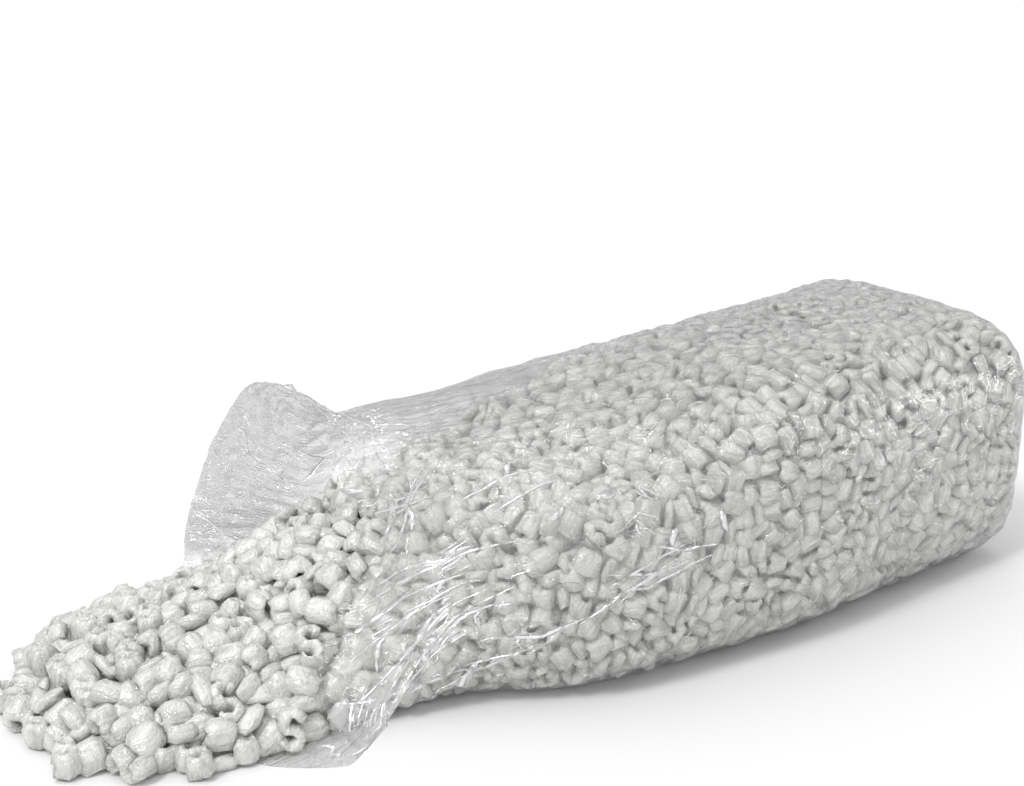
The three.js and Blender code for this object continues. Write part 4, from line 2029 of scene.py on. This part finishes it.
@dataclass
class Studio:
    """Floor, lights and camera.

    Attributes:
        target: What the lights face.
        camera_place: Where the camera stands.
        heading: How far it is turned from +Y towards +X, in radians.
        tilt_down: How far it looks down, in radians.
        lens: Its focal length, in millimetres.
        floor_side: Half the floor's side.
        floor_level: The floor's height, a hair below the object's underside.
        sky_colour: The even sky's colour.
        sky_strength: Its strength.
    """

    target: tuple[float, float, float] = (0.0, 0.0, 0.12)
    camera_place: tuple[float, float, float] = (-1.1141, -1.3778, 0.9140)
    heading: float = 0.67129
    tilt_down: float = 0.34016
    lens: float = 55.42
    floor_side: float = 60.0
    floor_level: float = -0.0006
    sky_colour: Colour = (0.98, 0.985, 0.985, 1.0)
    sky_strength: float = 0.71

    def camera(self) -> None:
        """Adds the camera and makes it the scene's."""
        data = bpy.data.cameras.new("camera")
        data.lens = self.lens
        data.sensor_width = 36.0
        data.clip_end = 50.0
        camera = new_object("camera", data)
        camera.location = self.camera_place
        camera.rotation_euler = (math.pi / 2 - self.tilt_down, 0.0, -self.heading)
        bpy.context.scene.camera = camera

    def floor(self) -> None:
        """Adds the pale floor."""
        signs = ((-1, -1), (1, -1), (1, 1), (-1, 1))
        corners = [(i * self.floor_side, j * self.floor_side, self.floor_level) for i, j in signs]
        mesh = bpy.data.meshes.new("floor")
        mesh.from_pydata(corners, [], [(0, 1, 2, 3)])
        mesh.materials.append(FloorFinish().build())
        floor = new_object("floor", mesh)

    def lamp(
        self,
        name: str,
        place: tuple[float, float, float],
        size: tuple[float, float],
        watts: float,
        fills: bool = False,
    ) -> None:
        """Adds a softbox that faces the object; unless it fills, it shows only in glossy surfaces.

        Args:
            name: Its name.
            place: Where it stands.
            size: Its width and height.
            watts: Its power.
            fills: Whether it lights matt surfaces too.
        """
        data = bpy.data.lights.new(name, "AREA")
        data.shape = "RECTANGLE"
        data.size, data.size_y = size
        data.energy = watts
        lamp = new_object(name, data)
        lamp.location = place
        away = np.array(place) - np.array(self.target)
        yaw = math.atan2(away[1], away[0]) + math.pi / 2
        pitch = math.atan2(math.hypot(away[0], away[1]), away[2])
        lamp.rotation_euler = (pitch, 0.0, yaw)
        lamp.visible_diffuse = fills

    def sun(self, name: str, strength: float, spread: float, lean: tuple[float, float]) -> None:
        """Adds a wide light that reaches everything from one side.

        Args:
            name: Its name.
            strength: Its light on a surface that faces it.
            spread: How wide it looks in the sky, in degrees.
            lean: How far it leans from straight down, about X and about Y, in radians.
        """
        data = bpy.data.lights.new(name, "SUN")
        data.energy = strength
        data.angle = math.radians(spread)
        new_object(name, data).rotation_euler = (*lean, 0.0)

    def lights(self) -> None:
        """Adds the overhead light, the small softboxes that make the film glint, and the even sky."""
        self.sun("overhead", 0.80, 70.0, (-0.10, -0.20))
        self.sun("key", 1.10, 14.0, (0.04, -0.62))
        self.lamp("front_fill", (-1.1, -2.3, 1.9), (1.5, 0.9), 2.0, fills=True)
        self.lamp("front_box", (-1.3, -2.0, 1.7), (0.16, 0.50), 4.0)
        self.lamp("low_box", (1.9, -1.8, 0.55), (0.50, 0.25), 6.5)
        self.lamp("left_box", (-2.2, -1.8, 0.5), (0.40, 0.25), 9.0)
        self.lamp("right_box", (1.2, -1.9, 1.9), (0.14, 0.50), 5.0)
        self.lamp("top_box", (0.2, 0.2, 2.6), (0.50, 0.20), 5.0)
        self.lamp("back_box", (0.4, 2.2, 1.5), (0.40, 0.20), 5.0)
        world = bpy.data.worlds.new("studio")
        world.use_nodes = True
        sky = world.node_tree.nodes["Background"]
        sky.inputs["Color"].default_value = self.sky_colour
        sky.inputs["Strength"].default_value = self.sky_strength
        bpy.context.scene.world = world
        bpy.context.scene.view_settings.view_transform = "Standard"


@dataclass
class PackingPeanutBag:
    """The whole object: film, packed fill and poured heap.

    Attributes:
        bag: The film's smooth form.
        heap: The heap's form.
        seen_depth: How deep into the fill peanuts can be seen.
        poured_end: Past this X, all peanuts are under the film.
        skirt_start: Past this X, those on the near side are.
        skirt_side: The highest Y of the near side.
        pack_splits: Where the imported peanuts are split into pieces.
        form_count: How many forms the peanuts share.
        seed: The start of the random numbers.
    """

    bag: BagForm = field(default_factory=BagForm)
    heap: HeapForm = field(default_factory=HeapForm)
    seen_depth: float = 0.070
    poured_end: float = -0.005
    skirt_start: float = -0.112
    skirt_side: float = 0.03
    pack_splits: tuple[float, ...] = (0.14, 0.38, 0.62)
    form_count: int = 8
    seed: int = 23

    def build(self) -> None:
        """Makes every piece in order."""
        poured_foam = FoamFinish("poured_foam").build()
        # The packed foam is the same foam as the poured, drawn darker: painted shade for the fill under the
        # film, which casts no shadow.
        packed_foam_painted_shade = FoamFinish("packed_foam_painted_shade", (0.63, 0.627, 0.608, 1.0), (0.43, 0.427, 0.413, 1.0)).build()
        placer = WholePeanuts(self.heap)
        whole = placer.with_lone(placer.place())
        fill = LooseFill(self.bag, self.heap, whole)
        loose = fill.pack()
        x, y, _ = loose.middles.T
        covered = (x > self.poured_end) | ((x > self.skirt_start) & (y < self.skirt_side))
        seen = (fill.depth_below(loose.middles) < self.seen_depth) | (x < 0.0)
        rng = np.random.default_rng(self.seed)
        forms = peanut_forms(self.form_count, rng)
        edges = (-math.inf, *self.pack_splits, math.inf)
        parts = [("poured_peanuts", loose.part(~covered), Detail.POURED, "foam", ["heap_core"])]
        for index, (low, high) in enumerate(zip(edges[:-1], edges[1:]), 1):
            group = loose.part(covered & seen & (x >= low) & (x < high))
            parts.append((f"packed_peanuts_{index}", group, Detail.PACKED, "fill", ["packed_fill"]))
        set_nodes = [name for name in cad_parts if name.startswith("peanut_")]
        parts.append(("set_peanuts", whole, Detail.POURED, "foam", set_nodes))
        touched = []
        for name, group, detail, slot, nodes in parts:
            # Peanuts under the film take the darker packed foam, which is painted shade.
            foam = packed_foam_painted_shade if slot == "fill" else poured_foam
            grid = peanut_grid(group, forms, detail, self.bag, rng)
            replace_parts(new_piece(name, grid, foam), *nodes)
            touched.append(grid.points + FOOTPRINT_MIDDLE)
        FilmBag(self.bag, np.vstack(touched)).build([part[0] for part in parts])


def main() -> None:
    """Builds the picture and the object."""
    logging.basicConfig(level=logging.INFO, format="%(name)s: %(message)s")
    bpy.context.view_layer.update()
    studio = Studio()
    studio.camera()
    studio.floor()
    studio.lights()
    PackingPeanutBag().build()


if __name__ == "__main__":
    main()
